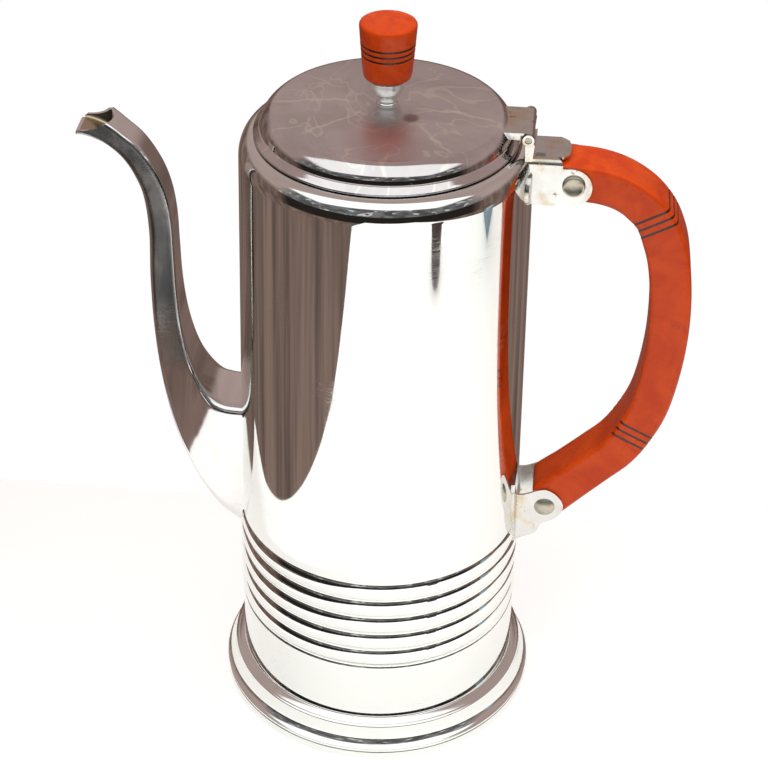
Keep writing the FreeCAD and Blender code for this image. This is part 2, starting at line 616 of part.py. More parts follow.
# ---- brackets ----
def upper_bracket(body):
    """A folded strap over the handle's top end: a plate, two riveted ears and a lobe each side on the body."""
    outer = BRACKET_INNER + BRACKET_WALL
    low, high = UPPER_EAR_Z
    centre, radius = UPPER_EAR_END
    middle = (low + high) / 2
    strap = slab(chain([(PLATE_X[0], low), (PLATE_X[0], PLATE_TOP_Z), (PLATE_X[1], PLATE_TOP_Z),
                        (PLATE_X[1], low), (PLATE_X[0], low)]), -outer, outer)
    strap = rounded(strap, BRACKET_WALL + 1.4, lambda edge: all(
        vertex.Z > PLATE_TOP_Z - 0.01 and abs(abs(vertex.Y) - outer) < 0.01 for vertex in edge.Vertexes))
    hollow = slab(chain([(0, low - 1), (0, PLATE_TOP_Z - BRACKET_WALL), (80, PLATE_TOP_Z - BRACKET_WALL),
                         (80, low - 1), (0, low - 1)]), -BRACKET_INNER, BRACKET_INNER)
    hollow = rounded(hollow, 1.4, lambda edge: all(
        vertex.Z > PLATE_TOP_Z - BRACKET_WALL - 0.01 for vertex in edge.Vertexes) and abs(
            edge.Vertexes[0].Y - edge.Vertexes[-1].Y) < 0.01)
    strap = strap.cut(hollow)
    ear = slab([line((UPPER_EAR_X, low), (centre, low)),
                arc((centre, low), (centre + radius, middle), (centre, high)),
                line((centre, high), (UPPER_EAR_X, high)),
                line((UPPER_EAR_X, high), (UPPER_EAR_X, low))], -outer, -BRACKET_INNER)
    nose_x, nose_half = PLATE_NOSE
    nose = Part.Face(Part.Wire([
        Part.LineSegment(Vector(50, -outer + 2.2, 0), Vector(PLATE_X[1], -outer + 2.2, 0)).toShape(),
        Part.LineSegment(Vector(PLATE_X[1], -outer + 2.2, 0), Vector(nose_x - 0.7, -nose_half, 0)).toShape(),
        Part.Arc(Vector(nose_x - 0.7, -nose_half, 0), Vector(nose_x, 0, 0),
                 Vector(nose_x - 0.7, nose_half, 0)).toShape(),
        Part.LineSegment(Vector(nose_x - 0.7, nose_half, 0), Vector(PLATE_X[1], outer - 2.2, 0)).toShape(),
        Part.LineSegment(Vector(PLATE_X[1], outer - 2.2, 0), Vector(50, outer - 2.2, 0)).toShape(),
        Part.LineSegment(Vector(50, outer - 2.2, 0), Vector(50, -outer + 2.2, 0)).toShape(),
    ])).extrude(Vector(0, 0, BRACKET_WALL))
    nose.translate(Vector(0, 0, PLATE_TOP_Z - BRACKET_WALL))
    (lobe_low, lobe_high), reach = UPPER_LOBE
    lobe_mid = (lobe_low + lobe_high) / 2
    lobe_r = (lobe_high - lobe_low) / 2
    lobe = Part.makeCylinder(lobe_r, 30, Vector(30, -reach + lobe_r, lobe_mid), Vector(1, 0, 0))
    lobe = lobe.common(box((30, -reach, lobe_low), (60, -BRACKET_INNER, lobe_high)))
    lobe = lobe.common(body_sleeve(BRACKET_WALL))
    side = ear.fuse(lobe)
    piece = strap.fuse([side, mirrored(side), nose]).removeSplitter()
    return piece.cut(body).cut(rivet_shank(UPPER_RIVET))


def lower_bracket(body):
    """Two shaped ears either side of the handle's lower end, joined by a web and lobed onto the body."""
    outer = BRACKET_INNER + BRACKET_WALL
    start, end = LOWER_EAR_TOP[0], LOWER_EAR_FOOT[-1]
    ear = slab([curve(LOWER_EAR_TOP), curve(LOWER_EAR_FRONT), curve(LOWER_EAR_FOOT),
                line(end, (46, end[1])), line((46, end[1]), (46, start[1])), line((46, start[1]), start)],
               -outer, -BRACKET_INNER)
    edges = [Part.LineSegment(Vector(30, *first), Vector(30, *second)).toShape()
             for first, second in zip(LOWER_LOBE, LOWER_LOBE[1:] + LOWER_LOBE[:1])]
    lobe = Part.Face(Part.Wire(edges)).extrude(Vector(40, 0, 0)).common(body_sleeve(BRACKET_WALL))
    web = box((46, -outer, 72), (60, outer, 84)).common(body_sleeve(BRACKET_WALL))
    side = ear.fuse(lobe)
    piece = web.fuse([side, mirrored(side)]).removeSplitter()
    return piece.cut(body).cut(rivet_shank(LOWER_RIVET))


def rivet_shank(centre):
    """The rivet's shank, from ear to ear."""
    outer = BRACKET_INNER + BRACKET_WALL
    return bar(RIVET_R, -outer - 0.1, outer + 0.1, centre)


def rivet_head_edges(dished, side):
    """Half the outline of a head, from the shank out to its rim and over to the axis: domed, or dished."""
    base = side * (BRACKET_INNER + BRACKET_WALL)
    rim = RIVET_HEAD_R
    tall = side * RIVET_HEAD_H
    if not dished:
        return [line((RIVET_R, base), (rim, base)), cap((rim, base), base + tall)]
    brow = (rim - 0.7, base + tall * 0.85)
    return [
        line((RIVET_R, base), (rim, base)),
        arc((rim, base), (rim - 0.1, base + tall * 0.6), brow),
        cap(brow, brow[1] - side * RIVET_DISH),
    ]


def rivet(centre, dished):
    """A rivet turned in one piece: a shank through both ears and the handle, and a head outside each ear."""
    outer = BRACKET_INNER + BRACKET_WALL
    tip = outer + RIVET_HEAD_H * (0.85 if dished else 1) - (RIVET_DISH if dished else 0)
    edges = rivet_head_edges(dished, 1) + rivet_head_edges(dished, -1)
    edges += [line((RIVET_R, -outer), (RIVET_R, outer)), line((0, -tip), (0, tip))]
    piece = turned(Part.__sortEdges__(edges))
    piece.rotate(Vector(0, 0, 0), Vector(1, 0, 0), -90)
    piece.translate(at(*centre))
    return piece


# ---- the whole pot ----
def build():
    """Every node by name."""
    body = body_block()
    blank = handle_blank()
    upper_lines = handle_lines(blank, UPPER_LINES)
    lower_lines = handle_lines(blank, LOWER_LINES)
    cuts = upper_lines + lower_lines + [rivet_shank(UPPER_RIVET), rivet_shank(LOWER_RIVET)]
    return {
        "body_shell": body_shell(),
        "base_plate": base_plate(),
        "foot_ring": foot_ring(),
        "spout": spout_piece(body),
        "lid_shell": lid_shell(),
        "lid_skirt": lid_skirt(),
        "lid_knob": lid_knob(),
        "knob_rings": Part.makeCompound(knob_rings()),
        "knob_ferrule": knob_ferrule(),
        "knob_screw": knob_screw(),
        "knob_washer": knob_washer(),
        "hinge_leaf": hinge_leaf(lid_block()),
        "hinge_pin": hinge_pin(),
        "hinge_bracket": hinge_bracket(body),
        "upper_bracket": upper_bracket(body),
        "lower_bracket": lower_bracket(body),
        "handle": blank.cut(Part.makeCompound(cuts)),
        "handle_lines_upper": Part.makeCompound(upper_lines),
        "handle_lines_lower": Part.makeCompound(lower_lines),
        "upper_rivet": rivet(UPPER_RIVET, True),
        "lower_rivet": rivet(LOWER_RIVET, False),
    }


os.makedirs("parts", exist_ok=True)
for name, shape in build().items():
    shape.exportStep("parts/" + name + ".step")
    print(name, shape.isValid(), len(shape.Solids), round(shape.Volume, 1))
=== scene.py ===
import math

import bpy
import numpy as np
from mathutils import Matrix, Vector


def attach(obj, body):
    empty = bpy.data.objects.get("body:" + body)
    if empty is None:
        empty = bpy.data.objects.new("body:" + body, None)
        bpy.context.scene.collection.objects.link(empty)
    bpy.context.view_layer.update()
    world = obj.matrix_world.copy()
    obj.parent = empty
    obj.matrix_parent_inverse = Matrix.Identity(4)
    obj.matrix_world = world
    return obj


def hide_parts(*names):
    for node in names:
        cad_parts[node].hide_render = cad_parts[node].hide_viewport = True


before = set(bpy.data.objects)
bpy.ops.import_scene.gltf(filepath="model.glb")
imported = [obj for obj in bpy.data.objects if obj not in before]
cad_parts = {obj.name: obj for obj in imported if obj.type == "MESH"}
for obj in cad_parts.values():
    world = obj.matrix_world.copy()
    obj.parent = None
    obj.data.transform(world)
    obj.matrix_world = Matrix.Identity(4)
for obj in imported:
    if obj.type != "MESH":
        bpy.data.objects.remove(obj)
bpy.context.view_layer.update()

# ----------------------------------------------------------
# The table, the room and the camera: the pot stands on a sheet of white card that ends a hand's width past
# the spout. The room beyond is a warm brown, with a dark band, a shelf and one broad white light in front,
# and the polished metal mirrors all of it.
# ----------------------------------------------------------
MM = 0.001


def both_ways(operation):
    """The two methods of an operator: with the number on its left, and with the number on its right."""
    return (lambda self, other: self.maths(operation, self, other),
            lambda self, other: self.maths(operation, other, self))


class Number:
    """A number worked out at every point of a surface. Sums on it add Math nodes."""

    def __init__(self, finish, socket):
        self.finish = finish
        self.socket = socket

    def maths(self, operation, *values):
        return self.finish.add("ShaderNodeMath", {"operation": operation}, list(values))

    __add__, __radd__ = both_ways("ADD")
    __sub__, __rsub__ = both_ways("SUBTRACT")
    __mul__, __rmul__ = both_ways("MULTIPLY")
    __truediv__ = both_ways("DIVIDE")[0]
    __gt__ = both_ways("GREATER_THAN")[0]
    __lt__ = both_ways("LESS_THAN")[0]

    def __abs__(self):
        return self.maths("ABSOLUTE", self)


class Finish:
    """One material or world, and the method that adds a node to it."""

    def __init__(self, owner):
        owner.use_nodes = True
        self.owner = owner
        self.tree = owner.node_tree
        self.tree.nodes.clear()

    def add(self, kind, settings, inputs, output=0):
        """Adds a node: its settings first, then a value or a link for each named or numbered input."""
        node = self.tree.nodes.new(kind)
        for key, value in settings.items():
            if key == "stops":
                for place, (position, colour) in enumerate(value):
                    stops = node.color_ramp.elements
                    stop = stops.new(position) if place >= len(stops) else stops[place]
                    stop.position = position
                    stop.color = (*colour, 1.0)
            else:
                setattr(node, key, value)
        pairs = inputs.items() if isinstance(inputs, dict) else enumerate(inputs)
        for key, value in pairs:
            if isinstance(value, Number):
                self.tree.links.new(value.socket, node.inputs[key])
            else:
                node.inputs[key].default_value = value
        return Number(self, node.outputs[output]) if len(node.outputs) else None

    def place(self):
        """The point of the piece that is being shaded, in metres in the pot's own frame."""
        return self.add("ShaderNodeTexCoord", {}, {}, "Object")

    def along(self, vector, axis):
        """One coordinate of a vector."""
        return self.add("ShaderNodeSeparateXYZ", {}, [vector], axis)

    def stretched(self, vector, scale, turn=(0, 0, 0)):
        """The vector turned and then scaled along each axis, for grain that runs one way."""
        return self.add("ShaderNodeMapping", {}, {"Vector": vector, "Rotation": turn, "Scale": scale})

    def noise(self, vector, scale, detail=3.0, rough=0.5, bend=0.0):
        """Soft noise between 0 and 1."""
        return self.add("ShaderNodeTexNoise", {}, {"Vector": vector, "Scale": scale, "Detail": detail,
                                                   "Roughness": rough, "Distortion": bend})

    def rise(self, value, low, high):
        """0 below low and 1 above high, smooth between."""
        return self.add("ShaderNodeMapRange", {"interpolation_type": "SMOOTHSTEP"},
                        {"Value": value, "From Min": low, "From Max": high})

    def blend(self, amount, first, second):
        """A mix of two colours."""
        first, second = (side if isinstance(side, Number) else (*side, 1.0) for side in (first, second))
        return self.add("ShaderNodeMix", {"data_type": "RGBA"}, {0: amount, 6: first, 7: second}, 2)

    def bump(self, height, depth):
        """A surface normal tilted by a height field, with the height of a full step in metres."""
        return self.add("ShaderNodeBump", {}, {"Height": height, "Distance": depth, "Strength": 1.0})

    def finish(self, **inputs):
        """The principled surface and the output: a keyword for each input, with underscores for spaces."""
        named = {key.replace("_", " "): value for key, value in inputs.items()}
        shader = self.add("ShaderNodeBsdfPrincipled", {}, named)
        self.add("ShaderNodeOutputMaterial", {}, {"Surface": shader})
        return self.owner


def new_finish(name):
    """An empty material under a plain name."""
    return Finish(bpy.data.materials.new(name))


def piece_from(name, points, faces, material, sharp=None):
    """A mesh object from points in millimetres and its faces, smooth except past the sharp angle."""
    mesh = bpy.data.meshes.new(name)
    mesh.from_pydata((np.asarray(points, float) * MM).tolist(), [], [tuple(face) for face in faces])
    mesh.polygons.foreach_set("use_smooth", np.ones(len(mesh.polygons), bool))
    if sharp is not None:
        mesh.set_sharp_from_angle(angle=math.radians(sharp))
    mesh.materials.append(material)
    mesh.update()
    piece = bpy.data.objects.new(name, mesh)
    bpy.context.scene.collection.objects.link(piece)
    return piece


# The card's outline in millimetres, seen from above.
TABLE_EDGE = [(-145, -900), (450, -900), (450, 90), (-200, 90), (-193, 54), (-174, 0), (-165, -56),
              (-156, -130), (-142, -232)]
TABLE_THICK = 6.0
TABLE_GLOW = 0.57


def prism_faces(count, start=0):
    """The faces of a block made of two outlines of count points: its sides, then its two ends."""
    ring = np.arange(count)
    after = (ring + 1) % count
    sides = np.stack([ring, after, count + after, count + ring], -1) + start
    return sides.tolist() + [(start + ring[::-1]).tolist(), (start + count + ring).tolist()]


def table_top():
    """A sheet of glowing white card with a curved left edge, its upper face at the height of the foot."""
    edge = np.array(TABLE_EDGE, float)
    count = len(edge)
    low = np.column_stack([edge, np.full(count, -TABLE_THICK)])
    high = np.column_stack([edge, np.zeros(count)])
    card = new_finish("white_card")
    grain = card.noise(card.place(), 6.0)
    tone = card.blend(grain, (0.80, 0.80, 0.79), (0.84, 0.84, 0.83))
    skin = card.finish(Base_Color=tone, Roughness=0.8, Emission_Color=tone, Emission_Strength=TABLE_GLOW)
    sheet = piece_from("table_top", np.vstack([low, high]), prism_faces(count), skin)
    outwards(sheet)


def outwards(piece):
    """Turns a closed mesh's faces to point out if its volume comes out negative."""
    mesh = piece.data
    co = np.empty(len(mesh.vertices) * 3)
    mesh.vertices.foreach_get("co", co)
    co = co.reshape(-1, 3)
    mesh.calc_loop_triangles()
    corners = np.empty(len(mesh.loop_triangles) * 3, np.int64)
    mesh.loop_triangles.foreach_get("vertices", corners)
    a, b, c = (co[corners[place::3]] for place in range(3))
    if np.einsum("ij,ij->i", a, np.cross(b, c)).sum() < 0:
        mesh.flip_normals()
        mesh.update()


POST_GAP = 0.2


def standing(name, spot, low_r, high_r, height, sides, tones):
    """A tapered post or block that stands on the card out of view and is only seen mirrored."""
    turn = np.linspace(0, 2 * math.pi, sides, endpoint=False)
    around = np.stack([np.cos(turn), np.sin(turn)], -1)
    rings = [np.column_stack([spot + radius * around, np.full(sides, level)])
             for radius, level in ((low_r, POST_GAP), (high_r, height))]
    paint = new_finish(name)
    tone = paint.blend(paint.noise(paint.place(), 60.0), *tones)
    skin = paint.finish(Base_Color=tone, Roughness=0.7)
    piece = piece_from(name, np.vstack(rings), prism_faces(sides), skin)
    outwards(piece)


# Name, place on the card, radius at the foot and at the top, height, number of sides, two tones.
POSTS = (("dark_post", (268, -290), 22, 34, 60, 24, ((0.03, 0.02, 0.02), (0.08, 0.05, 0.05))),
         ("blue_block", (430, -24), 34, 34, 60, 4, ((0.25, 0.36, 0.42), (0.34, 0.46, 0.52))))

table_top()
for post in POSTS:
    standing(*post)

ROOM_UP = (0.44, 0.335, 0.315)
ROOM_LOW = (0.20, 0.136, 0.116)
ROOM_DARK = (0.021, 0.017, 0.015)
ROOM_SHELF = (0.15, 0.15, 0.155)
ROOM_PALE = (1.0, 1.0, 1.0)
LIGHT_WHITE = (1.3, 1.3, 1.3)
# Heights are sines of the angle above the table: the dark band's foot, where it meets the shelf, and the
# shelf's top, each as the two ends of a soft edge.
DARK_LOW = (-0.34, -0.30)
DARK_HIGH = (0.06, 0.11)
SHELF_HIGH = (0.52, 0.60)


def shades(colour, darker, lighter):
    """A colour made darker and lighter by two factors."""
    return [tuple(factor * side for side in colour) for factor in (darker, lighter)]


def room():
    """What the metal mirrors: brown walls, a dark band and a shelf in front, and one broad white light."""
    world = bpy.data.worlds.new("room")
    bpy.context.scene.world = world
    sky = Finish(world)
    way = sky.add("ShaderNodeTexCoord", {}, {}, "Generated")
    across, back, height = (sky.along(way, axis) for axis in "XYZ")
    front = sky.rise(back * -1.0, 0.05, 0.35)
    streak = sky.rise(sky.noise(sky.stretched(way, (10.0, 10.0, 0.8)), 1.0, 4.0, 0.6), 0.28, 0.72)
    low = sky.blend(streak, *shades(ROOM_LOW, 0.55, 1.35))
    cloud = sky.noise(way, 2.0, 2.0)
    high = sky.blend(cloud, *shades(ROOM_UP, 0.85, 1.15))
    walls = sky.blend(sky.rise(height, 0.0, 0.30), low, high)
    speck = sky.rise(sky.noise(sky.stretched(way, (9.0, 9.0, 7.0)), 1.0, 2.0), 0.60, 0.64)
    clutter = sky.noise(sky.stretched(way, (7.0, 7.0, 5.0)), 1.0, 2.0)
    shelf = sky.blend(sky.rise(clutter, 0.35, 0.65), *shades(ROOM_SHELF, 0.55, 1.4))
    shelf = sky.blend(speck * 0.8, shelf, (0.8, 0.8, 0.82))
    on_shelf = front * sky.rise(height, *DARK_HIGH) * (1.0 - sky.rise(height, *SHELF_HIGH))
    in_band = front * sky.rise(height, *DARK_LOW) * (1.0 - sky.rise(height, *DARK_HIGH))
    walls = sky.blend(on_shelf, walls, shelf)
    walls = sky.blend(in_band, walls, ROOM_DARK)
    above = height.maths("MAXIMUM", height, 0.05)
    side_reach = sky.rise(abs(across / above) + cloud * 0.5, 1.95, 1.45)
    depth_reach = sky.rise(back / above, -1.38, -1.30) * sky.rise(back / above, -0.16, -0.24)
    mirrored = sky.blend(side_reach * depth_reach, walls, LIGHT_WHITE)
    to_camera = sky.add("ShaderNodeLightPath", {}, {}, "Is Camera Ray")
    seen = sky.blend(to_camera, mirrored, ROOM_PALE)
    glow = sky.add("ShaderNodeBackground", {}, {"Color": seen, "Strength": 1.0})
    sky.add("ShaderNodeOutputWorld", {}, {"Surface": glow})


room()


def lamp(name, spot, aim, size, watts):
    """A soft rectangular studio light that the metal doesn't mirror."""
    light = bpy.data.lights.new(name, "AREA")
    light.shape = "RECTANGLE"
    light.size, light.size_y = size
    light.energy = watts
    holder = bpy.data.objects.new(name, light)
    direction = Vector(aim) - Vector(spot)
    holder.matrix_world = Matrix.Translation(spot) @ direction.to_track_quat("-Z", "Y").to_matrix().to_4x4()
    holder.visible_glossy = False
    holder.visible_camera = False
    bpy.context.scene.collection.objects.link(holder)


# Name, place, the point it faces and its size, all in metres, then its power.
LAMPS = (("key_light", (-0.3, -0.9, 1.1), (0, 0, 0.1), (1.2, 0.9), 10.0),
         ("fill_light", (0.7, -0.2, 1.0), (0, 0, 0.1), (1.0, 1.0), 5.0),
         ("top_light", (0.0, 0.3, 1.6), (0, 0, 0.0), (1.6, 1.6), 11.0))
for row in LAMPS:
    lamp(*row)

CAMERA_SPOT = (52.0, -594.7, 541.6)
CAMERA_PITCH = 34.84
CAMERA_HEADING = 4.93
CAMERA_ROLL = 1.06
CAMERA_LENS = 97.23


def camera():
    """The camera: above the front, turned slightly to the left, looking down at the pot."""
    eye = bpy.data.cameras.new("camera")
    eye.sensor_width = 36.0
    eye.lens = CAMERA_LENS
    eye.clip_start = 0.01
    holder = bpy.data.objects.new("camera", eye)
    turn = (Matrix.Rotation(math.radians(CAMERA_HEADING), 4, "Z")
            @ Matrix.Rotation(math.radians(90 - CAMERA_PITCH), 4, "X")
            @ Matrix.Rotation(math.radians(CAMERA_ROLL), 4, "Z"))
    holder.matrix_world = Matrix.Translation(Vector(CAMERA_SPOT) * MM) @ turn
    bpy.context.scene.collection.objects.link(holder)
    bpy.context.scene.camera = holder


camera()
bpy.context.scene.view_settings.view_transform = "Standard"

# ----------------------------------------------------------
# Body: spun from brass sheet 0.9 mm thick and chrome plated. Five ribs are rolled into the wall above the
# foot, the top is turned in to a rounded shoulder, and the mouth's edge is turned down inside.
# ----------------------------------------------------------
WALL = 0.9
TURNS = 240


def softened(corners, closed=True, steps=5):
    """A profile with its corners rounded.

    Each corner (x, z, radius) becomes a short curve that starts and ends one radius away on its two sides
    and bends towards the corner: q(t) = (1-t)^2 start + 2t(1-t) corner + t^2 end. A point just outside
    each end of the curve holds the flat beside it flat.
    """
    rows = np.array(corners, float)
    spots, reach = rows[:, :2], rows[:, 2]
    profile = []
    count = len(rows)
    for index in range(count):
        if reach[index] <= 0 or (not closed and index in (0, count - 1)):
            profile.append(spots[index][None])
            continue
        before, here, after = spots[index - 1], spots[index], spots[(index + 1) % count]
        start_gap, end_gap = np.linalg.norm(before - here), np.linalg.norm(after - here)
        size = min(reach[index], 0.42 * start_gap, 0.42 * end_gap)
        start = here + (before - here) * size / start_gap
        end = here + (after - here) * size / end_gap
        hold = min(0.35 * size, 0.05 * start_gap, 0.05 * end_gap)
        t = np.linspace(0, 1, steps)[:, None]
        bend = (1 - t) ** 2 * start + 2 * t * (1 - t) * here + t ** 2 * end
        profile.append((start + (before - here) * hold / start_gap)[None])
        profile.append(bend)
        profile.append((end + (after - here) * hold / end_gap)[None])
    return np.vstack(profile)


def grid_faces(rows, columns, wrap_rows, wrap_columns):
    """The four corners of every face of a grid of points, row by row."""
    down = np.arange(rows if wrap_rows else rows - 1)
    across = np.arange(columns if wrap_columns else columns - 1)
    r, c = np.meshgrid(down, across, indexing="ij")
    r1, c1 = (r + 1) % rows, (c + 1) % columns
    corners = [r * columns + c, r * columns + c1, r1 * columns + c1, r1 * columns + c]
    return np.stack(corners, -1).reshape(-1, 4)


def capped_faces(rows, columns):
    """The faces of a stack of rings, closed by a fan at each end. The two hub points come after the rings."""
    step = np.arange(columns)
    after = (step + 1) % columns
    end = (rows - 1) * columns
    hub = np.full(columns, rows * columns)
    faces = grid_faces(rows, columns, False, True).tolist()
    faces += np.stack([hub, after, step], -1).tolist()
    return faces + np.stack([hub + 1, end + step, end + after], -1).tolist()


def lathe(name, profile, material, sharp=None, turns=TURNS):
    """A turned piece: each profile point (radius, height) goes once round the axis.

    x = radius cos(turn), y = radius sin(turn), z = height. The profile is a closed loop, or it starts and
    ends on the axis, where its first and last rings become one point each.
    """
    profile = np.asarray(profile, float)
    poles = profile[0, 0] < 1e-6 and profile[-1, 0] < 1e-6
    body = profile[1:-1] if poles else profile
    angle = np.linspace(0, 2 * math.pi, turns, endpoint=False)
    x = body[:, :1] * np.cos(angle)
    y = body[:, :1] * np.sin(angle)
    z = np.repeat(body[:, 1:], turns, axis=1)
    points = np.stack([x, y, z], -1).reshape(-1, 3)
    if poles:
        points = np.vstack([points, [[0, 0, profile[0, 1]], [0, 0, profile[-1, 1]]]])
        faces = capped_faces(len(body), turns)
    else:
        faces = grid_faces(len(body), turns, True, True).tolist()
    piece = piece_from(name, points, faces, material, sharp)
    outwards(piece)
    return piece


# The turn of each set of hair lines, and how much finer it is across than along.
HAIR_LINES = (((0.5, 0.2, 0.1), (1, 1, 18)), ((0.9, 0.7, 1.3), (1, 1, 22)), ((0.1, 1.3, 0.4), (1, 1, 16)))


def scratches(finish, place, coarse):
    """Fine wear on polished plate, 0 to 1: hair lines in three directions, only in patches."""
    lines = 0.0
    for turn, stretch in HAIR_LINES:
        scale = tuple(coarse * side for side in stretch)
        grain = finish.noise(finish.stretched(place, scale, turn), 1.0, 2.0)
        lines = finish.rise(abs(grain - 0.5), 0.006, 0.0) + lines
    patch = finish.rise(finish.noise(place, 40.0, 2.0), 0.52, 0.68)
    return lines * patch


def chrome(name, tint=(0.82, 0.84, 0.81), dull=0.03, wear=1.0, stain=None):
    """Chrome plate: a bright mirror with smudges, hair scratches and slightly wavy metal under it."""
    plate = new_finish(name)
    place = plate.place()
    smudge = plate.noise(place, 28.0, 4.0, 0.6, 0.4)
    cloud = plate.rise(smudge, 0.45, 0.75)
    lines = scratches(plate, place, 60.0)
    colour = plate.blend(cloud * 0.5, tint, tuple(side * 0.93 for side in tint))
    colour = plate.blend(lines * (0.5 * wear), colour, (0.55, 0.55, 0.54))
    rough = cloud * 0.05 + lines * (0.25 * wear) + dull
    # The stain function adds marks of its own: stains on the brackets, and on the lid stains plus a painted
    # reflection.
    if stain is not None:
        colour, rough = stain(plate, place, colour, rough)
    wave = plate.noise(place, 30.0, 1.0)
    height = wave - lines * (0.02 * wear)
    return plate.finish(Base_Color=colour, Roughness=rough, Metallic=1.0, Normal=plate.bump(height, 0.00006))


RIB_LOW = 38.5
RIB_PITCH = 7.55
RIBS = 5
VALLEY = 49.55
CREST = 50.7
SHOULDER_LOW = 217.4
MOUTH = 42.2
MOUTH_TOP = 225.3
WALL_FOOT = 50.3
WALL_ABOVE_RIBS = 49.95
WALL_TOP = 48.05
BODY_LOW = 8.0


def rib_profile(inset):
    """Five beads side by side: each an arc bulging out between two sharp valleys.

    radius = centre + R cos(a), height = middle + R sin(a), where R makes the arc reach from valley to crest.
    """
    rise = CREST - VALLEY
    half = RIB_PITCH / 2
    radius = (half * half + rise * rise) / (2 * rise)
    sweep = np.linspace(-math.asin(half / radius), math.asin(half / radius), 15)
    arc_r = CREST - radius + radius * np.cos(sweep) - inset
    arc_z = radius * np.sin(sweep) + half
    rows = []
    for rib in range(RIBS):
        height = RIB_LOW + rib * RIB_PITCH + arc_z
        rows.append(np.stack([arc_r, height], -1)[0 if rib == 0 else 1:])
    return np.vstack(rows)


def shoulder_profile(inset):
    """A quarter of an ellipse from the upright wall over to the mouth."""
    neck = MOUTH + WALL
    turn = np.linspace(0, math.pi / 2, 26)
    across, rise = WALL_TOP - neck - inset, MOUTH_TOP - SHOULDER_LOW - inset
    return np.stack([neck + across * np.cos(turn), SHOULDER_LOW + rise * np.sin(turn)], -1)


def upright(low, high, count):
    """Evenly spaced points on a straight line, without its two ends."""
    t = np.linspace(0, 1, count + 2)[1:-1, None]
    return (1 - t) * np.array(low) + t * np.array(high)


def body_side(inset):
    """The wall from its lower edge up to the mouth, set in by inset."""
    top = RIB_LOW + RIBS * RIB_PITCH
    foot = WALL_FOOT - inset
    above = WALL_ABOVE_RIBS - inset
    return np.vstack([
        [[foot, BODY_LOW]], upright((foot, BODY_LOW), (foot, RIB_LOW - 0.6), 8),
        [[foot, RIB_LOW - 0.75], [foot - 0.05, RIB_LOW - 0.5]], rib_profile(inset),
        [[above - 0.06, top + 0.5], [above, top + 0.75]],
        upright((above, top + 0.6), (WALL_TOP - inset, SHOULDER_LOW), 24), shoulder_profile(inset),
    ])


HOLE = 1.6
HOLE_PITCH = 5.2
HOLE_ROWS = 6
HOLE_LOW = 83.0
HOLE_SIDES = 20


def pouring_cutter(skin):
    """Staggered rods, in rows of three and two, that drill the pouring holes through the wall."""
    points, faces = [], []
    turn = np.linspace(0, 2 * math.pi, HOLE_SIDES, endpoint=False)
    for row in range(HOLE_ROWS):
        count = 3 if row % 2 == 0 else 2
        for place in range(count):
            y = (place - (count - 1) / 2) * HOLE_PITCH + HOLE * np.cos(turn)
            z = HOLE_LOW + row * HOLE_PITCH + HOLE * np.sin(turn)
            faces += prism_faces(HOLE_SIDES, len(points))
            for x in (-54.0, -44.0):
                points += np.column_stack([np.full(HOLE_SIDES, x), y, z]).tolist()
    cutter = piece_from("pouring_cutter", points, faces, skin)
    outwards(cutter)
    return cutter


def cut_away(piece, cutter):
    """Cuts one mesh out of another for good, and removes the cutter."""
    change = piece.modifiers.new("cut", "BOOLEAN")
    change.operation = "DIFFERENCE"
    change.solver = "EXACT"
    change.object = cutter
    graph = bpy.context.evaluated_depsgraph_get()
    mesh = bpy.data.meshes.new_from_object(piece.evaluated_get(graph))
    piece.modifiers.clear()
    piece.data = mesh
    bpy.data.objects.remove(cutter)


def body():
    """The body's one closed profile: up the outside, over the mouth, down the neck and down the inside."""
    inner = body_side(WALL)[::-1]
    neck = softened([(MOUTH + WALL, MOUTH_TOP, 0), (MOUTH, MOUTH_TOP, 0.8), (MOUTH, MOUTH_TOP - 5, 0.3),
                     (MOUTH + WALL, MOUTH_TOP - 5, 0.3), (MOUTH + WALL, MOUTH_TOP - WALL, 0)], closed=False)
    profile = np.vstack([body_side(0), neck[1:-1], inner])
    skin = chrome("body_chrome")
    piece = lathe("pot_body", profile, skin)
    cut_away(piece, pouring_cutter(skin))
    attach(piece, "pot")
    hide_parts("body_shell")


body()

# ----------------------------------------------------------
# Foot and base: the foot is pressed from sheet, with a sloping step under the wall, a hollow flare and an
# upright lip with its edge hemmed under. It is soldered round the wall, and a flat base plate is soldered
# inside it. Both are chrome plated.
# ----------------------------------------------------------
FOOT_OUT = 57.2
FOOT_STEP = [(WALL_FOOT, 14.9), (50.45, 14.4), (50.9, 14.05)]
FOOT_FLARE = [(52.66, 12.2), (52.85, 10.2), (53.2, 8.4), (53.75, 6.8), (54.6, 5.4), (55.6, 4.35), (56.5, 3.7)]
FOOT_EDGE = (57.05, 3.2)
FOOT_LIP = 2.6
FOOT_HEM = 54.2
FOOT_SHEET = 1.0
FOOT_UNDER = 12.8


def through(points, steps):
    """A smooth curve through every point, with the same number of steps between each two.

    Catmull-Rom: p(t) = ((2 b) + (c - a) t + (2a - 5b + 4c - d) t^2 + (3b - a - 3c + d) t^3) / 2.
    """
    rows = np.array(points, float)
    ends = np.vstack([2 * rows[:1] - rows[1:2], rows, 2 * rows[-1:] - rows[-2:-1]])
    a, b, c, d = (ends[place:len(ends) - 3 + place, None] for place in range(4))
    t = np.linspace(0, 1, steps, endpoint=False)[None, :, None]
    bend, twist = 2 * a - 5 * b + 4 * c - d, 3 * b - a - 3 * c + d
    curve = ((2 * b) + (c - a) * t + bend * t ** 2 + twist * t ** 3) / 2
    return np.vstack([curve.reshape(-1, rows.shape[1]), rows[-1:]])


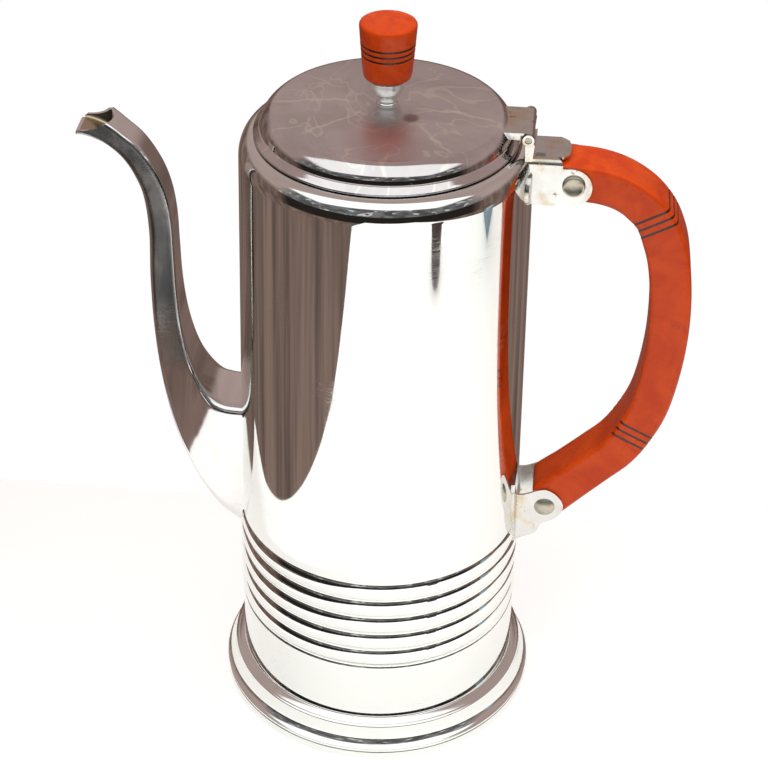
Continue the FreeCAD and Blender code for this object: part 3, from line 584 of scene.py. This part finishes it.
def arc_through(start, middle, end, count):
    """Points on the circle through three points, from start to end."""
    (ax, ay), (bx, by), (cx, cy) = start, middle, end
    spread = 2 * (ax * (by - cy) + bx * (cy - ay) + cx * (ay - by))
    a2, b2, c2 = ax * ax + ay * ay, bx * bx + by * by, cx * cx + cy * cy
    x = (a2 * (by - cy) + b2 * (cy - ay) + c2 * (ay - by)) / spread
    y = (a2 * (cx - bx) + b2 * (ax - cx) + c2 * (bx - ax)) / spread
    turns = np.unwrap([math.atan2(py - y, px - x) for px, py in (start, middle, end)])
    radius = math.hypot(ax - x, ay - y)
    sweep = np.linspace(turns[0], turns[2], count)
    return np.stack([x + radius * np.cos(sweep), y + radius * np.sin(sweep)], -1)


def set_in(points, inset):
    """Each point of an outline moved inwards, square to the line between its two neighbours."""
    points = np.array(points, float)
    ends = np.vstack([points[:1], points, points[-1:]])
    run = ends[2:] - ends[:-2]
    run /= np.linalg.norm(run, axis=1)[:, None]
    return points + inset * np.stack([run[:, 1], -run[:, 0]], -1)


def foot():
    """Step, flare, lip and hem as one closed profile, back up the inside of the sheet."""
    step = arc_through(*FOOT_STEP, 8)
    slope = softened([(*FOOT_STEP[2], 0), (52.5, 12.75, 0.12), (52.68, 12.45, 0.12), (*FOOT_FLARE[0], 0)],
                     closed=False)
    flare = through(FOOT_FLARE, 6)
    edge = arc_through(FOOT_FLARE[-1], FOOT_EDGE, (FOOT_OUT, FOOT_LIP), 8)
    inside = through(set_in(FOOT_FLARE, -FOOT_SHEET), 6)[::-1]
    hem = softened([(FOOT_OUT, FOOT_LIP, 0), (FOOT_OUT, 0, 0.6), (FOOT_HEM, 0, 0.3),
                    (FOOT_HEM, FOOT_SHEET, 0.3), (FOOT_OUT - FOOT_SHEET, FOOT_SHEET, 0.3),
                    (*inside[0], 0)], closed=False)
    collar = softened([(*inside[-1], 0), (inside[-1][0], FOOT_UNDER, 0), (WALL_FOOT, FOOT_UNDER, 0.2),
                       (*FOOT_STEP[0], 0)], closed=False)
    profile = np.vstack([step[:-1], slope[:-1], flare[:-1], edge[:-1], hem[:-1], inside[:-1], collar[1:-1]])
    piece = lathe("foot_moulding", profile, chrome("foot_chrome", dull=0.08))
    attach(piece, "pot")
    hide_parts("foot_ring")


def base():
    """The base plate: a dished disc with its edge turned down inside the wall."""
    edge = WALL_FOOT - WALL
    profile = softened([(0, 10.3, 0), (edge - 9, 10.3, 1.5), (edge - 7, 11.5, 1.5), (edge, 11.5, 0.8),
                        (edge, BODY_LOW, 0.2), (edge - WALL, BODY_LOW, 0.2), (edge - WALL, 10.6, 0.4),
                        (edge - 6.6, 10.6, 1.0), (edge - 8.6, 9.4, 1.0), (0, 9.4, 0)], closed=False)
    piece = lathe("base_disc", profile, chrome("base_chrome", tint=(0.62, 0.60, 0.56), dull=0.22))
    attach(piece, "pot")
    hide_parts("base_plate")


foot()
base()

# ----------------------------------------------------------
# Lid: pressed from sheet, a shallow dome with a rounded shoulder, a steep side and a sloping rim with a
# round edge. It is chrome plated and worn dull on top. A plain skirt ring is soldered under it and drops
# into the mouth.
# ----------------------------------------------------------
LID_WALL = 0.8
LID_TOP = 236.6
DOME_BALL = 262.6
LID_SIDE = [(37.0, 233.98), (37.75, 233.55), (38.95, 232.45), (39.95, 231.2), (40.55, 230.1), (40.8, 229.2),
            (40.9, 228.6)]
# The rim from the foot of the side, down its slope and round its edge, each corner with its rounding.
RIM = [(*LID_SIDE[-1], 0), (41.0, 228.33, 0.2), (41.35, 228.15, 0.2), (42.75, 226.75, 0.25),
       (43.2, 226.25, 0.5), (43.15, 225.75, 0.4), (42.8, 225.65, 0)]
# Lines on the lid: the turn from the handle in degrees, where each starts and ends out from the knob in
# millimetres, and its width.
DRIPS = ((178.0, 9.0, 37.0, 0.40), (-6.0, 8.0, 37.0, 0.35), (222.0, 8.0, 33.0, 0.40),
         (-50.0, 12.0, 37.0, 0.40), (148.0, 16.0, 36.0, 0.25))
STAIN_SPOT = (8.5, -10.5)


def lid_side(inset):
    """The dome and the rounded side, set in by inset. The dome is an arc of a large ball."""
    side = set_in(LID_SIDE, inset)
    half = side[0, 0] / 2
    middle = (half, LID_TOP - inset - DOME_BALL + math.sqrt(DOME_BALL ** 2 - half ** 2))
    return np.vstack([arc_through((0, LID_TOP - inset), middle, side[0], 30), through(side, 5)[1:]])


def drips_and_painted_reflection(plate, place, colour, rough):
    """Dried drips that run out from the knob, a dark stain beside it, clouds where the plate is dull, and
    pale veins on top that are a painted reflection.
    """
    x, y = plate.along(place, "X"), plate.along(place, "Y")
    wobble = (plate.noise(place, 32.0, 4.0, 0.6) - 0.5) * 0.016
    reach = x.maths("SQRT", x * x + y * y)
    lines = 0.0
    for turn, start, end, width in DRIPS:
        way = (math.cos(math.radians(turn)), math.sin(math.radians(turn)))
        aside = abs(x * way[1] - y * way[0] + wobble)
        forward = x * way[0] + y * way[1]
        line = plate.rise(aside, 2.2 * width * MM, 0.3 * width * MM)
        line = line * plate.rise(forward, start * MM, (start + 4) * MM)
        lines = line * plate.rise(reach, (end + 2) * MM, (end - 3) * MM) + lines
    upper = plate.along(plate.add("ShaderNodeTexCoord", {}, {}, "Normal"), "Z") > 0.0
    fade = plate.rise(plate.noise(place, 60.0, 2.0), 0.15, 0.45) * upper
    stain_x, stain_y = x - STAIN_SPOT[0] * MM, y - STAIN_SPOT[1] * MM
    spread = stain_x.maths("SQRT", stain_x * stain_x + stain_y * stain_y)
    stain = plate.rise(spread + wobble * 0.4, 0.0032, 0.0008) * upper
    dim = plate.rise(plate.noise(place, 34.0, 4.0, 0.65, 0.8), 0.35, 0.65)
    colour = plate.blend(dim * 0.35, colour, (0.46, 0.43, 0.43))
    # Pale veins over the up-facing lid: a painted reflection.
    bent = plate.noise(place, 21.0, 3.0, 0.55, 1.4)
    painted_reflection_veins = plate.rise(abs(bent - 0.5), 0.014, 0.003) * fade
    colour = plate.blend(painted_reflection_veins * 0.45, colour, (0.95, 0.93, 0.84))
    colour = plate.blend(lines * fade * 0.55, colour, (0.96, 0.94, 0.82))
    colour = plate.blend(stain * 0.75, colour, (0.22, 0.15, 0.12))
    top = plate.rise(plate.along(place, "Z"), 0.23385, 0.23435)
    return colour, rough + top * (dim * 0.08 + 0.34) + lines * fade * 0.15


def lid():
    """Dome, side and sloping rim on the outside, then the same sheet back on the inside."""
    under = lid_side(LID_WALL)[::-1]
    inner = float(under[0, 0])
    outside = np.vstack([lid_side(0)[:-1], softened(RIM, closed=False)])
    low = softened([RIM[-1], (inner, RIM[-1][1], 0.3), (inner, float(under[0, 1]), 0)], closed=False)
    profile = np.vstack([outside[:-1], low[:-1], under])
    piece = lathe("lid_dome", profile, chrome("lid_chrome", tint=(0.74, 0.72, 0.72), stain=drips_and_painted_reflection), sharp=50)
    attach(piece, "lid")
    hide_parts("lid_shell")


def skirt():
    """The slightly tapered ring under the lid."""
    profile = softened([(41.5, 225.65, 0.1), (40.8, 225.65, 0.1), (40.3, 221.3, 0.25), (41.0, 221.3, 0.25)])
    piece = lathe("lid_skirt_ring", profile, chrome("skirt_chrome", tint=(0.7, 0.68, 0.64), dull=0.15))
    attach(piece, "lid")
    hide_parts("lid_skirt")


lid()
skirt()

# ----------------------------------------------------------
# Knob: turned from cast orange resin, with three saw lines filled with black enamel. It sits in a chrome
# cup, and a screw from inside the lid holds both.
# ----------------------------------------------------------
KNOB_LOW = 244.8
KNOB_HIGH = 264.3
KNOB_TOP_R = 9.35
KNOB_FOOT_R = 8.05
LINES_Z = (257.35, 255.45, 253.55)
KNOB_LINE = 0.75
LINE_DEEP = 0.4


def resin(name):
    """Cast phenolic resin: a deep orange with faint cloudy swirls, satin from handling, waxy at its edges."""
    cast = new_finish(name)
    place = cast.place()
    swirl = cast.noise(place, 55.0, 4.0, 0.6, 1.5)
    colour = cast.blend(cast.rise(swirl, 0.3, 0.7), (0.420, 0.033, 0.0012), (0.520, 0.054, 0.0030))
    speck = cast.rise(cast.noise(place, 420.0, 2.0), 0.66, 0.72)
    colour = cast.blend(speck * 0.35, colour, (0.20, 0.022, 0.005))
    lines = scratches(cast, place, 80.0)
    rough = cast.rise(cast.noise(place, 90.0, 4.0), 0.3, 0.8) * 0.16 + lines * 0.2 + 0.24
    height = cast.noise(place, 60.0, 2.0) - lines * 0.2
    return cast.finish(Base_Color=colour, Roughness=rough, Normal=cast.bump(height, 0.00008),
                       Specular_IOR_Level=0.16, Coat_Weight=0.07, Coat_Roughness=0.12, Subsurface_Weight=0.08,
                       Subsurface_Radius=(0.004, 0.0012, 0.0005))


def enamel(name):
    """Black enamel in a saw line: glossy, with pinholes where it has chipped away."""
    paint = new_finish(name)
    place = paint.place()
    chip = paint.rise(paint.noise(place, 700.0, 3.0), 0.62, 0.70)
    colour = paint.blend(chip * 0.7, (0.012, 0.008, 0.007), (0.20, 0.030, 0.008))
    rough = paint.noise(place, 300.0) * 0.3 + 0.2
    return paint.finish(Base_Color=colour, Roughness=rough, Normal=paint.bump(chip * -1.0, 0.0001))


def knob_radius(height):
    """The straight taper of the knob's side."""
    share = (height - KNOB_LOW - 3.2) / (KNOB_HIGH - 0.8 - KNOB_LOW - 3.2)
    return KNOB_FOOT_R + (KNOB_TOP_R - KNOB_FOOT_R) * share


def knob():
    """The knob's profile with its three square-bottomed lines, and the enamel rings that lie in them."""
    corners = [(0, KNOB_LOW, 0), (6.4, KNOB_LOW, 0.4), (7.7, KNOB_LOW + 0.9, 1.0),
               (KNOB_FOOT_R, KNOB_LOW + 3.2, 1.5)]
    half = KNOB_LINE / 2
    for middle in sorted(LINES_Z):
        radius = knob_radius(middle)
        corners += [(radius, middle - half, 0.07), (radius - LINE_DEEP, middle - half, 0.05),
                    (radius - LINE_DEEP, middle + half, 0.05), (radius, middle + half, 0.07)]
    corners += [(KNOB_TOP_R, KNOB_HIGH, 1.5), (0, KNOB_HIGH, 0)]
    piece = lathe("knob_body", softened(corners, closed=False), resin("knob_resin"), turns=160)
    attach(piece, "lid")
    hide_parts("lid_knob")
    paint = enamel("knob_enamel")
    for place, middle in enumerate(LINES_Z):
        radius = knob_radius(middle)
        ring = softened([(radius - LINE_DEEP, middle - half, 0.03), (radius - 0.12, middle - half, 0.08),
                         (radius - 0.12, middle + half, 0.08), (radius - LINE_DEEP, middle + half, 0.03)])
        band = lathe("knob_line_%d" % (place + 1), ring, paint, turns=120)
        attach(band, "lid")
        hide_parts("knob_rings")


def ferrule():
    """The chrome cup: a short neck on the lid that opens into a bowl, widest where it meets the knob."""
    bowl = through([(3.35, 238.7), (3.9, 239.15), (4.9, 240.1), (5.6, 241.6), (5.95, 243.0), (6.1, 244.2)], 6)
    neck = softened([(0, LID_TOP, 0), (3.7, LID_TOP, 0.1), (3.35, 237.1, 0.3), (*bowl[0], 0)], closed=False)
    lip = softened([(*bowl[-1], 0), (6.2, 244.5, 0.1), (6.1, KNOB_LOW, 0.1), (0, KNOB_LOW, 0)], closed=False)
    profile = np.vstack([neck[:-1], bowl[:-1], lip])
    piece = lathe("knob_cup", profile, chrome("cup_chrome", dull=0.04), turns=120)
    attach(piece, "lid")
    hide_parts("knob_ferrule")


def steel(name, tint=(0.56, 0.54, 0.50), dull=0.28):
    """Nickelled steel gone dull, with brown spots of rust."""
    metal = new_finish(name)
    place = metal.place()
    spot = metal.rise(metal.noise(place, 320.0, 4.0, 0.6), 0.55, 0.68)
    colour = metal.blend(spot * 0.6, tint, (0.20, 0.11, 0.05))
    rough = metal.noise(place, 200.0, 3.0) * 0.2 + spot * 0.25 + dull
    return metal.finish(Base_Color=colour, Roughness=rough, Metallic=1.0,
                        Normal=metal.bump(metal.noise(place, 500.0, 3.0), 0.00005))


def dress(nodes, material):
    """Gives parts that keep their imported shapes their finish."""
    for node in nodes:
        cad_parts[node].data.materials.clear()
        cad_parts[node].data.materials.append(material)


knob()
ferrule()
dress(("knob_screw", "knob_washer"), steel("fixing_steel"))

# ----------------------------------------------------------
# Spout: two halves pressed from brass sheet and soldered along the middle, then chromed. It has a flat
# upper face, a swan's neck and an open pouring lip, and is soldered over the holes in the body.
# ----------------------------------------------------------
# From root to tip: upper line, lower line, width across, upper and lower corner radius.
SPOUT_STATIONS = [
    ((-49.5, 119.9), (-49.5, 67.0), 25.0, 3.0, 6.0),
    ((-54.5, 120.3), (-56.5, 73.4), 24.6, 2.8, 6.0),
    ((-58.6, 122.2), (-62.6, 82.0), 23.5, 2.6, 5.8),
    ((-62.3, 127.0), (-67.4, 91.6), 21.6, 2.4, 5.4),
    ((-65.3, 133.5), (-71.7, 102.5), 19.0, 2.2, 5.0),
    ((-67.6, 142.0), (-75.2, 115.8), 16.8, 2.0, 4.6),
    ((-69.2, 152.0), (-77.8, 132.0), 14.8, 1.9, 4.0),
    ((-70.1, 164.0), (-79.2, 149.5), 13.2, 1.8, 3.4),
    ((-70.4, 177.0), (-79.5, 167.0), 12.3, 1.7, 3.0),
    ((-70.7, 188.8), (-79.1, 184.3), 12.0, 1.6, 2.8),
    ((-72.0, 198.8), (-80.2, 198.0), 12.0, 1.6, 2.6),
    ((-74.9, 207.8), (-82.9, 206.3), 12.0, 1.6, 2.5),
    ((-80.0, 216.4), (-86.6, 212.6), 12.1, 1.6, 2.4),
    ((-86.0, 222.1), (-91.2, 217.0), 12.4, 1.6, 2.4),
    ((-91.5, 226.4), (-95.2, 219.2), 12.8, 1.6, 2.4),
    ((-97.5, 228.5), (-98.8, 220.4), 13.0, 1.6, 2.2),
    ((-101.4, 228.7), (-101.4, 220.5), 13.0, 1.6, 2.2),
]
SPOUT_SHEET = 0.9
LIP_RIM = [(-85.6, 240.0), (-88.0, 226.6), (-89.6, 224.9), (-91.3, 223.7), (-93.7, 222.9), (-97.0, 222.6),
           (-106.0, 222.2)]
LIP_END = -101.4
LIP_CORNER = 2.0
LIP_HALF = 6.5
LIP_STRAIGHT = -94.0
# How far the root is sunk into the wall, and how many rows are drawn over to it.
SPOUT_SUNK = 0.3
SPOUT_SEAT_ROWS = 10.0


def half_section(share, half, height, top_round, low_round):
    """Half of a rounded rectangle, from the middle of its top, down one side, to the middle of its foot.

    share runs 0 to 1 along that half's length: flat, quarter circle, side, quarter circle, flat. All the
    arguments are arrays of one value for each row, and share has a column for each point.
    """
    quarter = math.pi / 2
    lengths = np.stack([half - top_round, quarter * top_round, height - top_round - low_round,
                        quarter * low_round, half - low_round], -1)
    stops = np.concatenate([np.zeros((len(half), 1)), np.cumsum(lengths, -1)], -1)
    along = share * stops[:, -1:]
    top_turn = np.clip((along - stops[:, 1:2]) / top_round[:, None], 0, quarter)
    low_turn = np.clip((along - stops[:, 3:4]) / low_round[:, None], 0, quarter)
    flat = np.clip(along, 0, stops[:, 1:2])
    side = np.clip(along - stops[:, 2:3], 0, lengths[:, 2:3])
    foot = np.clip(along - stops[:, 4:5], 0, None)
    across = flat + top_round[:, None] * np.sin(top_turn) - low_round[:, None] * (1 - np.cos(low_turn)) - foot
    down = top_round[:, None] * (1 - np.cos(top_turn)) + side + low_round[:, None] * np.sin(low_turn)
    return across, height[:, None] - down


def spout_point(share, upper, lower, half, top_round, low_round):
    """Points (x, y, z) across the spout for each row's upper and lower line."""
    rise = upper - lower
    height = np.linalg.norm(rise, axis=1)
    across, up = half_section(share, half, height, top_round, low_round)
    spot = lower[:, None] + rise[:, None] * (up / height[:, None])[..., None]
    return np.stack([spot[..., 0], across, spot[..., 1]], -1)


def lip_cutter(skin):
    """A closed block that takes off everything above the lip's rim.

    Its lower face follows the rim line along the spout, and is drawn back at the sides by 2.5 (y / 6)^2,
    which leaves a rounded notch at the top.
    """
    rim = through(LIP_RIM, 8)
    loop = np.vstack([rim, [[-106.0, 250.0], [-86.0, 250.0]]])
    across = np.linspace(-9.0, 9.0, 31)
    shift = -2.5 * np.clip(np.abs(across) / 6.0, 0, 1.2) ** 2
    x = loop[None, :, 0] + shift[:, None]
    y = np.broadcast_to(across[:, None], x.shape)
    z = np.broadcast_to(loop[None, :, 1], x.shape)
    count = len(loop)
    faces = grid_faces(len(across), count, False, True).tolist()
    faces += [np.arange(count)[::-1].tolist(), ((len(across) - 1) * count + np.arange(count)).tolist()]
    cutter = piece_from("lip_cutter", np.stack([x, y, z], -1).reshape(-1, 3), faces, skin)
    outwards(cutter)
    return cutter


def spout():
    """A closed tube through the stations, thickened inwards, with the lip cut open after that."""
    stations = [(*upper, *lower, width / 2, top, low) for upper, lower, width, top, low in SPOUT_STATIONS]
    rows = through(stations, 9)
    upper, lower, half, top_round, low_round = rows[:, 0:2], rows[:, 2:4], rows[:, 4], rows[:, 5], rows[:, 6]
    share = np.repeat(np.linspace(0, 1, 49)[None], len(rows), axis=0)
    points = spout_point(share, upper, lower, half, top_round, low_round)
    span = (points[..., 0] - LIP_STRAIGHT) / (LIP_END - LIP_STRAIGHT)
    past = np.clip(np.abs(points[..., 1]) - (LIP_HALF - LIP_CORNER), 0, LIP_CORNER)
    back = LIP_CORNER - np.sqrt(LIP_CORNER ** 2 - past ** 2)
    points[..., 0] += back * np.clip(span, 0, 1)
    taper = [RIB_LOW + RIBS * RIB_PITCH, SHOULDER_LOW]
    wall_r = np.interp(points[0, :, 2], taper, [WALL_ABOVE_RIBS, WALL_TOP]) - SPOUT_SUNK
    seat = -np.sqrt(wall_r ** 2 - points[0, :, 1] ** 2) - points[0, :, 0]
    ease = np.clip(1 - np.arange(len(points)) / SPOUT_SEAT_ROWS, 0, 1) ** 1.5
    points[..., 0] += seat[None] * ease[:, None]
    sheet = np.concatenate([points, points[:, -2:0:-1] * np.array([1, -1, 1])], axis=1)
    skin = spout_chrome()
    piece = piece_from("spout_tube", sheet.reshape(-1, 3), grid_faces(*sheet.shape[:2], False, True), skin)
    solid = piece.modifiers.new("thickness", "SOLIDIFY")
    solid.thickness = SPOUT_SHEET * MM
    solid.offset = -1.0
    solid.use_even_offset = True
    cut_away(piece, lip_cutter(skin))
    piece.data.polygons.foreach_set("use_smooth", np.ones(len(piece.data.polygons), bool))
    piece.data.set_sharp_from_angle(angle=math.radians(40))
    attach(piece, "pot")
    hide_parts("spout")


def spout_chrome():
    """Chrome along the spout, greyed by smudges and scratches, with painted shade on its upright sides: near
    black with brushed streaks. Brown tarnish inside the lip.
    """
    plate = new_finish("spout_chrome")
    place = plate.place()
    smudge = plate.noise(place, 35.0, 4.0, 0.6, 0.5)
    cloud = plate.rise(smudge, 0.42, 0.72)
    brush = plate.noise(plate.stretched(place, (420.0, 420.0, 30.0)), 1.0, 3.0)
    lines = scratches(plate, place, 70.0)
    facing = plate.add("ShaderNodeNewGeometry", {}, {}, "Normal")
    side = plate.along(facing, "Y")
    drop = plate.along(place, "Z") + (cloud - 0.5) * 0.03
    # The upright sides above the root are painted near black with brushed streaks: painted shade.
    painted_shade_sides = plate.rise(abs(side), 0.75, 0.95) * plate.rise(drop, 0.115, 0.150)
    painted_shade_streaks = plate.blend(brush, (0.035, 0.038, 0.038), (0.17, 0.18, 0.18))
    tint = plate.blend(painted_shade_sides * 0.97, (0.80, 0.80, 0.79), painted_shade_streaks)
    tint = plate.blend(cloud * 0.35, tint, (0.62, 0.60, 0.57))
    tint = plate.blend(lines * 0.5, tint, (0.45, 0.44, 0.43))
    up = plate.along(facing, "Z")
    x = plate.along(place, "X")
    within = (x < -0.0872) * (x > -0.1003) * (abs(plate.along(place, "Y")) < 0.0056)
    within = within * (plate.along(place, "Z") < 0.2228)
    lip = within * plate.rise(up, 0.0, 0.35)
    tint = plate.blend(lip * 0.8, tint, (0.42, 0.33, 0.17))
    rough = painted_shade_sides * 0.24 + cloud * 0.07 + lines * 0.2 + lip * 0.18 + brush * 0.06 + 0.04
    height = brush * 0.15 + plate.noise(place, 40.0, 1.0) - lines * 0.03
    return plate.finish(Base_Color=tint, Roughness=rough, Metallic=1.0, Normal=plate.bump(height, 0.00006))


spout()

# ----------------------------------------------------------
# Handle: sawn from a slab of cast orange resin with its long edges rounded, and two groups of three saw
# lines filled with black enamel. Its two ends sit between the brackets' ears.
# ----------------------------------------------------------
HALF_WIDE = 8.0
LONG_ROUND = 1.7
# Points along the outer edge, each with the point opposite it on the inner edge.
HANDLE_STATIONS = [
    ((51.0, 221.2), (51.0, 207.8)), ((57.5, 221.2), (57.5, 207.8)), ((63.5, 221.2), (64.0, 207.8)),
    ((70.0, 220.5), (69.0, 207.4)), ((77.0, 218.6), (73.5, 206.3)), ((83.5, 215.4), (77.0, 204.6)),
    ((89.3, 211.0), (79.9, 202.2)), ((94.3, 205.2), (83.0, 198.8)), ((97.7, 199.0), (85.3, 193.0)),
    ((100.6, 190.5), (87.3, 186.5)), ((102.6, 178.5), (88.8, 177.5)), ((103.5, 165.5), (89.8, 165.5)),
    ((103.2, 152.0), (89.8, 152.5)), ((101.6, 138.0), (88.5, 139.5)), ((98.9, 125.0), (86.3, 128.8)),
    ((94.2, 113.5), (82.3, 119.6)), ((88.6, 104.3), (77.6, 112.0)), ((81.5, 96.8), (71.3, 105.6)),
    ((73.0, 88.0), (63.4, 98.0)), ((64.6, 79.2), (55.6, 91.0)), ((61.5, 77.9), (55.6, 88.0)),
    ((58.3, 78.0), (55.6, 84.5)), ((56.2, 79.2), (55.6, 81.5)),
]
SAW_WIDE = 0.9
SAW_PITCH = 2.75
SAW_DEEP = 0.42
# The middle of each group of saw lines, and the way its lines run in degrees.
SAW_GROUPS = (((88.7, 201.7), 29.0), ((88.2, 116.7), -27.2))


def ring_section(outer, inner, sink, corner_steps=7):
    """A closed rounded rectangle between an outer and an inner point, sunk in on all but its inner face.

    Corners sit one radius in from both sides, and each quarter turns evenly. sink is one value per row.
    """
    rise = outer - inner
    height = np.linalg.norm(rise, axis=1)
    quarter = np.linspace(0, math.pi / 2, corner_steps)
    radius = np.minimum(LONG_ROUND, height * 0.42)
    half = HALF_WIDE - sink
    outer_r = np.maximum(radius - sink * 0.5, 0.5)
    spots = []
    for turn in (quarter, quarter + math.pi / 2, quarter + math.pi, quarter + 1.5 * math.pi):
        is_outer = turn.mean() < math.pi
        corner = outer_r if is_outer else radius
        centre_y = (half - corner) * (1 if math.cos(turn.mean()) > 0 else -1)
        centre_h = (height - sink - corner) if is_outer else corner
        across = centre_y[:, None] + corner[:, None] * np.cos(turn)[None]
        up = centre_h[:, None] + corner[:, None] * np.sin(turn)[None]
        spots.append(np.stack([across, up], -1))
    ring = []
    for place, corner in enumerate(spots):
        following = spots[(place + 1) % 4]
        t = np.linspace(0, 1, 8)[1:-1][None, :, None]
        ring += [corner, corner[:, -1:] * (1 - t) + following[:, :1] * t]
    ring = np.concatenate(ring, axis=1)
    share = (ring[..., 1] / height[:, None])[..., None]
    spot = inner[:, None] + rise[:, None] * share
    return np.stack([spot[..., 0], ring[..., 0], spot[..., 1]], -1)


def saw_edge(curve, centre, direction, offset):
    """Where an edge of the handle crosses a line parallel to a saw cut, at an offset from its middle."""
    turn = math.radians(direction)
    distance = (curve - np.array(centre)) @ np.array([-math.sin(turn), math.cos(turn)])
    near = np.linalg.norm(curve - np.array(centre), axis=1) < 16
    curve, distance = curve[near], distance[near]
    order = np.argsort(distance)
    return np.array([np.interp(offset, distance[order], curve[order, axis]) for axis in range(2)])


def handle_rows():
    """Rows (outer x, z, inner x, z, sink) from the top end round to the lower end, with the saw cuts.

    Rows that lie within a group of cuts give way to the rows of the cuts themselves.
    """
    curve = through([(*outer, *inner) for outer, inner in HANDLE_STATIONS], 8)
    reach = SAW_PITCH + SAW_WIDE / 2 + 0.35
    rows = []
    taken = set()
    for row in curve:
        group = None
        for index, (centre, direction) in enumerate(SAW_GROUPS):
            turn = math.radians(direction)
            spots = row.reshape(2, 2) - np.array(centre)
            gaps = spots @ np.array([-math.sin(turn), math.cos(turn)])
            if np.linalg.norm(spots, axis=1).max() < 20 and np.abs(gaps).min() < reach:
                group = index
        if group is None:
            rows.append((*row, 0.0))
        elif group not in taken:
            taken.add(group)
            centre, direction = SAW_GROUPS[group]
            for line in (1, 0, -1):
                for side in (0.5, -0.5):
                    offset = line * SAW_PITCH + side * SAW_WIDE
                    spot = [saw_edge(curve[:, part:part + 2], centre, direction, offset) for part in (0, 2)]
                    pair = [(*spot[0], *spot[1], 0.0), (*spot[0], *spot[1], SAW_DEEP)]
                    rows += pair if side > 0 else pair[::-1]
    return np.array(rows)


def handle():
    """The handle's skin as rings of points, closed at both ends, and the enamel in its saw lines."""
    rows = handle_rows()
    rings = ring_section(rows[:, 0:2], rows[:, 2:4], rows[:, 4])
    points = np.vstack([rings.reshape(-1, 3), rings[0].mean(0)[None], rings[-1].mean(0)[None]])
    faces = capped_faces(*rings.shape[:2])
    piece = piece_from("handle_grip", points, faces, resin("handle_resin"), sharp=38)
    outwards(piece)
    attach(piece, "pot")
    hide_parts("handle")


def saw_enamel():
    """One band of enamel for each saw line, over the two sides and the outer face."""
    curve = through([(*outer, *inner) for outer, inner in HANDLE_STATIONS], 8)
    paint = enamel("handle_enamel")
    for (centre, direction), node in zip(SAW_GROUPS, ("handle_lines_upper", "handle_lines_lower")):
        for place, line in enumerate((1, 0, -1)):
            edges = []
            for side in (0.5, -0.5):
                offset = line * SAW_PITCH + side * (SAW_WIDE - 0.04)
                edges.append(np.array([saw_edge(curve[:, part:part + 2], centre, direction, offset)
                                       for part in (0, 2)]))
            outer = np.array([edges[0][0], edges[1][0], edges[1][0], edges[0][0]])
            inner = np.array([edges[0][1], edges[1][1], edges[1][1], edges[0][1]])
            sink = np.array([0.10, 0.10, SAW_DEEP, SAW_DEEP])
            loop = ring_section(outer, inner, sink)
            loop = np.concatenate([loop[:, 42:], loop[:, :31]], axis=1)
            length = loop.shape[1]
            points = loop.transpose(1, 0, 2).reshape(-1, 3)
            faces = grid_faces(length, 4, False, True).tolist()
            faces += [[3, 2, 1, 0], [4 * length - 4, 4 * length - 3, 4 * length - 2, 4 * length - 1]]
            band = piece_from("%s_%d" % (node, place + 1), points, faces, paint, sharp=40)
            outwards(band)
            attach(band, "pot")
            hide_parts(node)


handle()
saw_enamel()

# ----------------------------------------------------------
# Brackets, hinge and rivets: the brackets and the hinge leaf are stamped from sheet and soldered to the body
# and the lid, then chromed. Solder and rust have yellowed the plate in patches. The rivets and the
# hinge pin are dull steel.
# ----------------------------------------------------------
def yellowed(plate, place, colour, rough):
    """Yellow and rust-brown bloom in patches, and the grey of worn plate between."""
    bloom = plate.rise(plate.noise(place, 110.0, 4.0, 0.6), 0.50, 0.68)
    rust = plate.rise(plate.noise(place, 240.0, 4.0, 0.65), 0.60, 0.70)
    grey = plate.noise(place, 150.0, 3.0)
    colour = plate.blend(grey * 0.6, colour, (0.44, 0.45, 0.43))
    colour = plate.blend(bloom * 0.55, colour, (0.62, 0.48, 0.26))
    colour = plate.blend(rust * 0.6, colour, (0.26, 0.13, 0.05))
    return colour, rough + bloom * 0.12 + rust * 0.25 + grey * 0.12


dress(("upper_bracket", "lower_bracket", "hinge_bracket", "hinge_leaf"),
      chrome("bracket_chrome", tint=(0.72, 0.72, 0.69), dull=0.12, stain=yellowed))
dress(("upper_rivet", "lower_rivet", "hinge_pin"), steel("rivet_steel", tint=(0.50, 0.47, 0.38)))
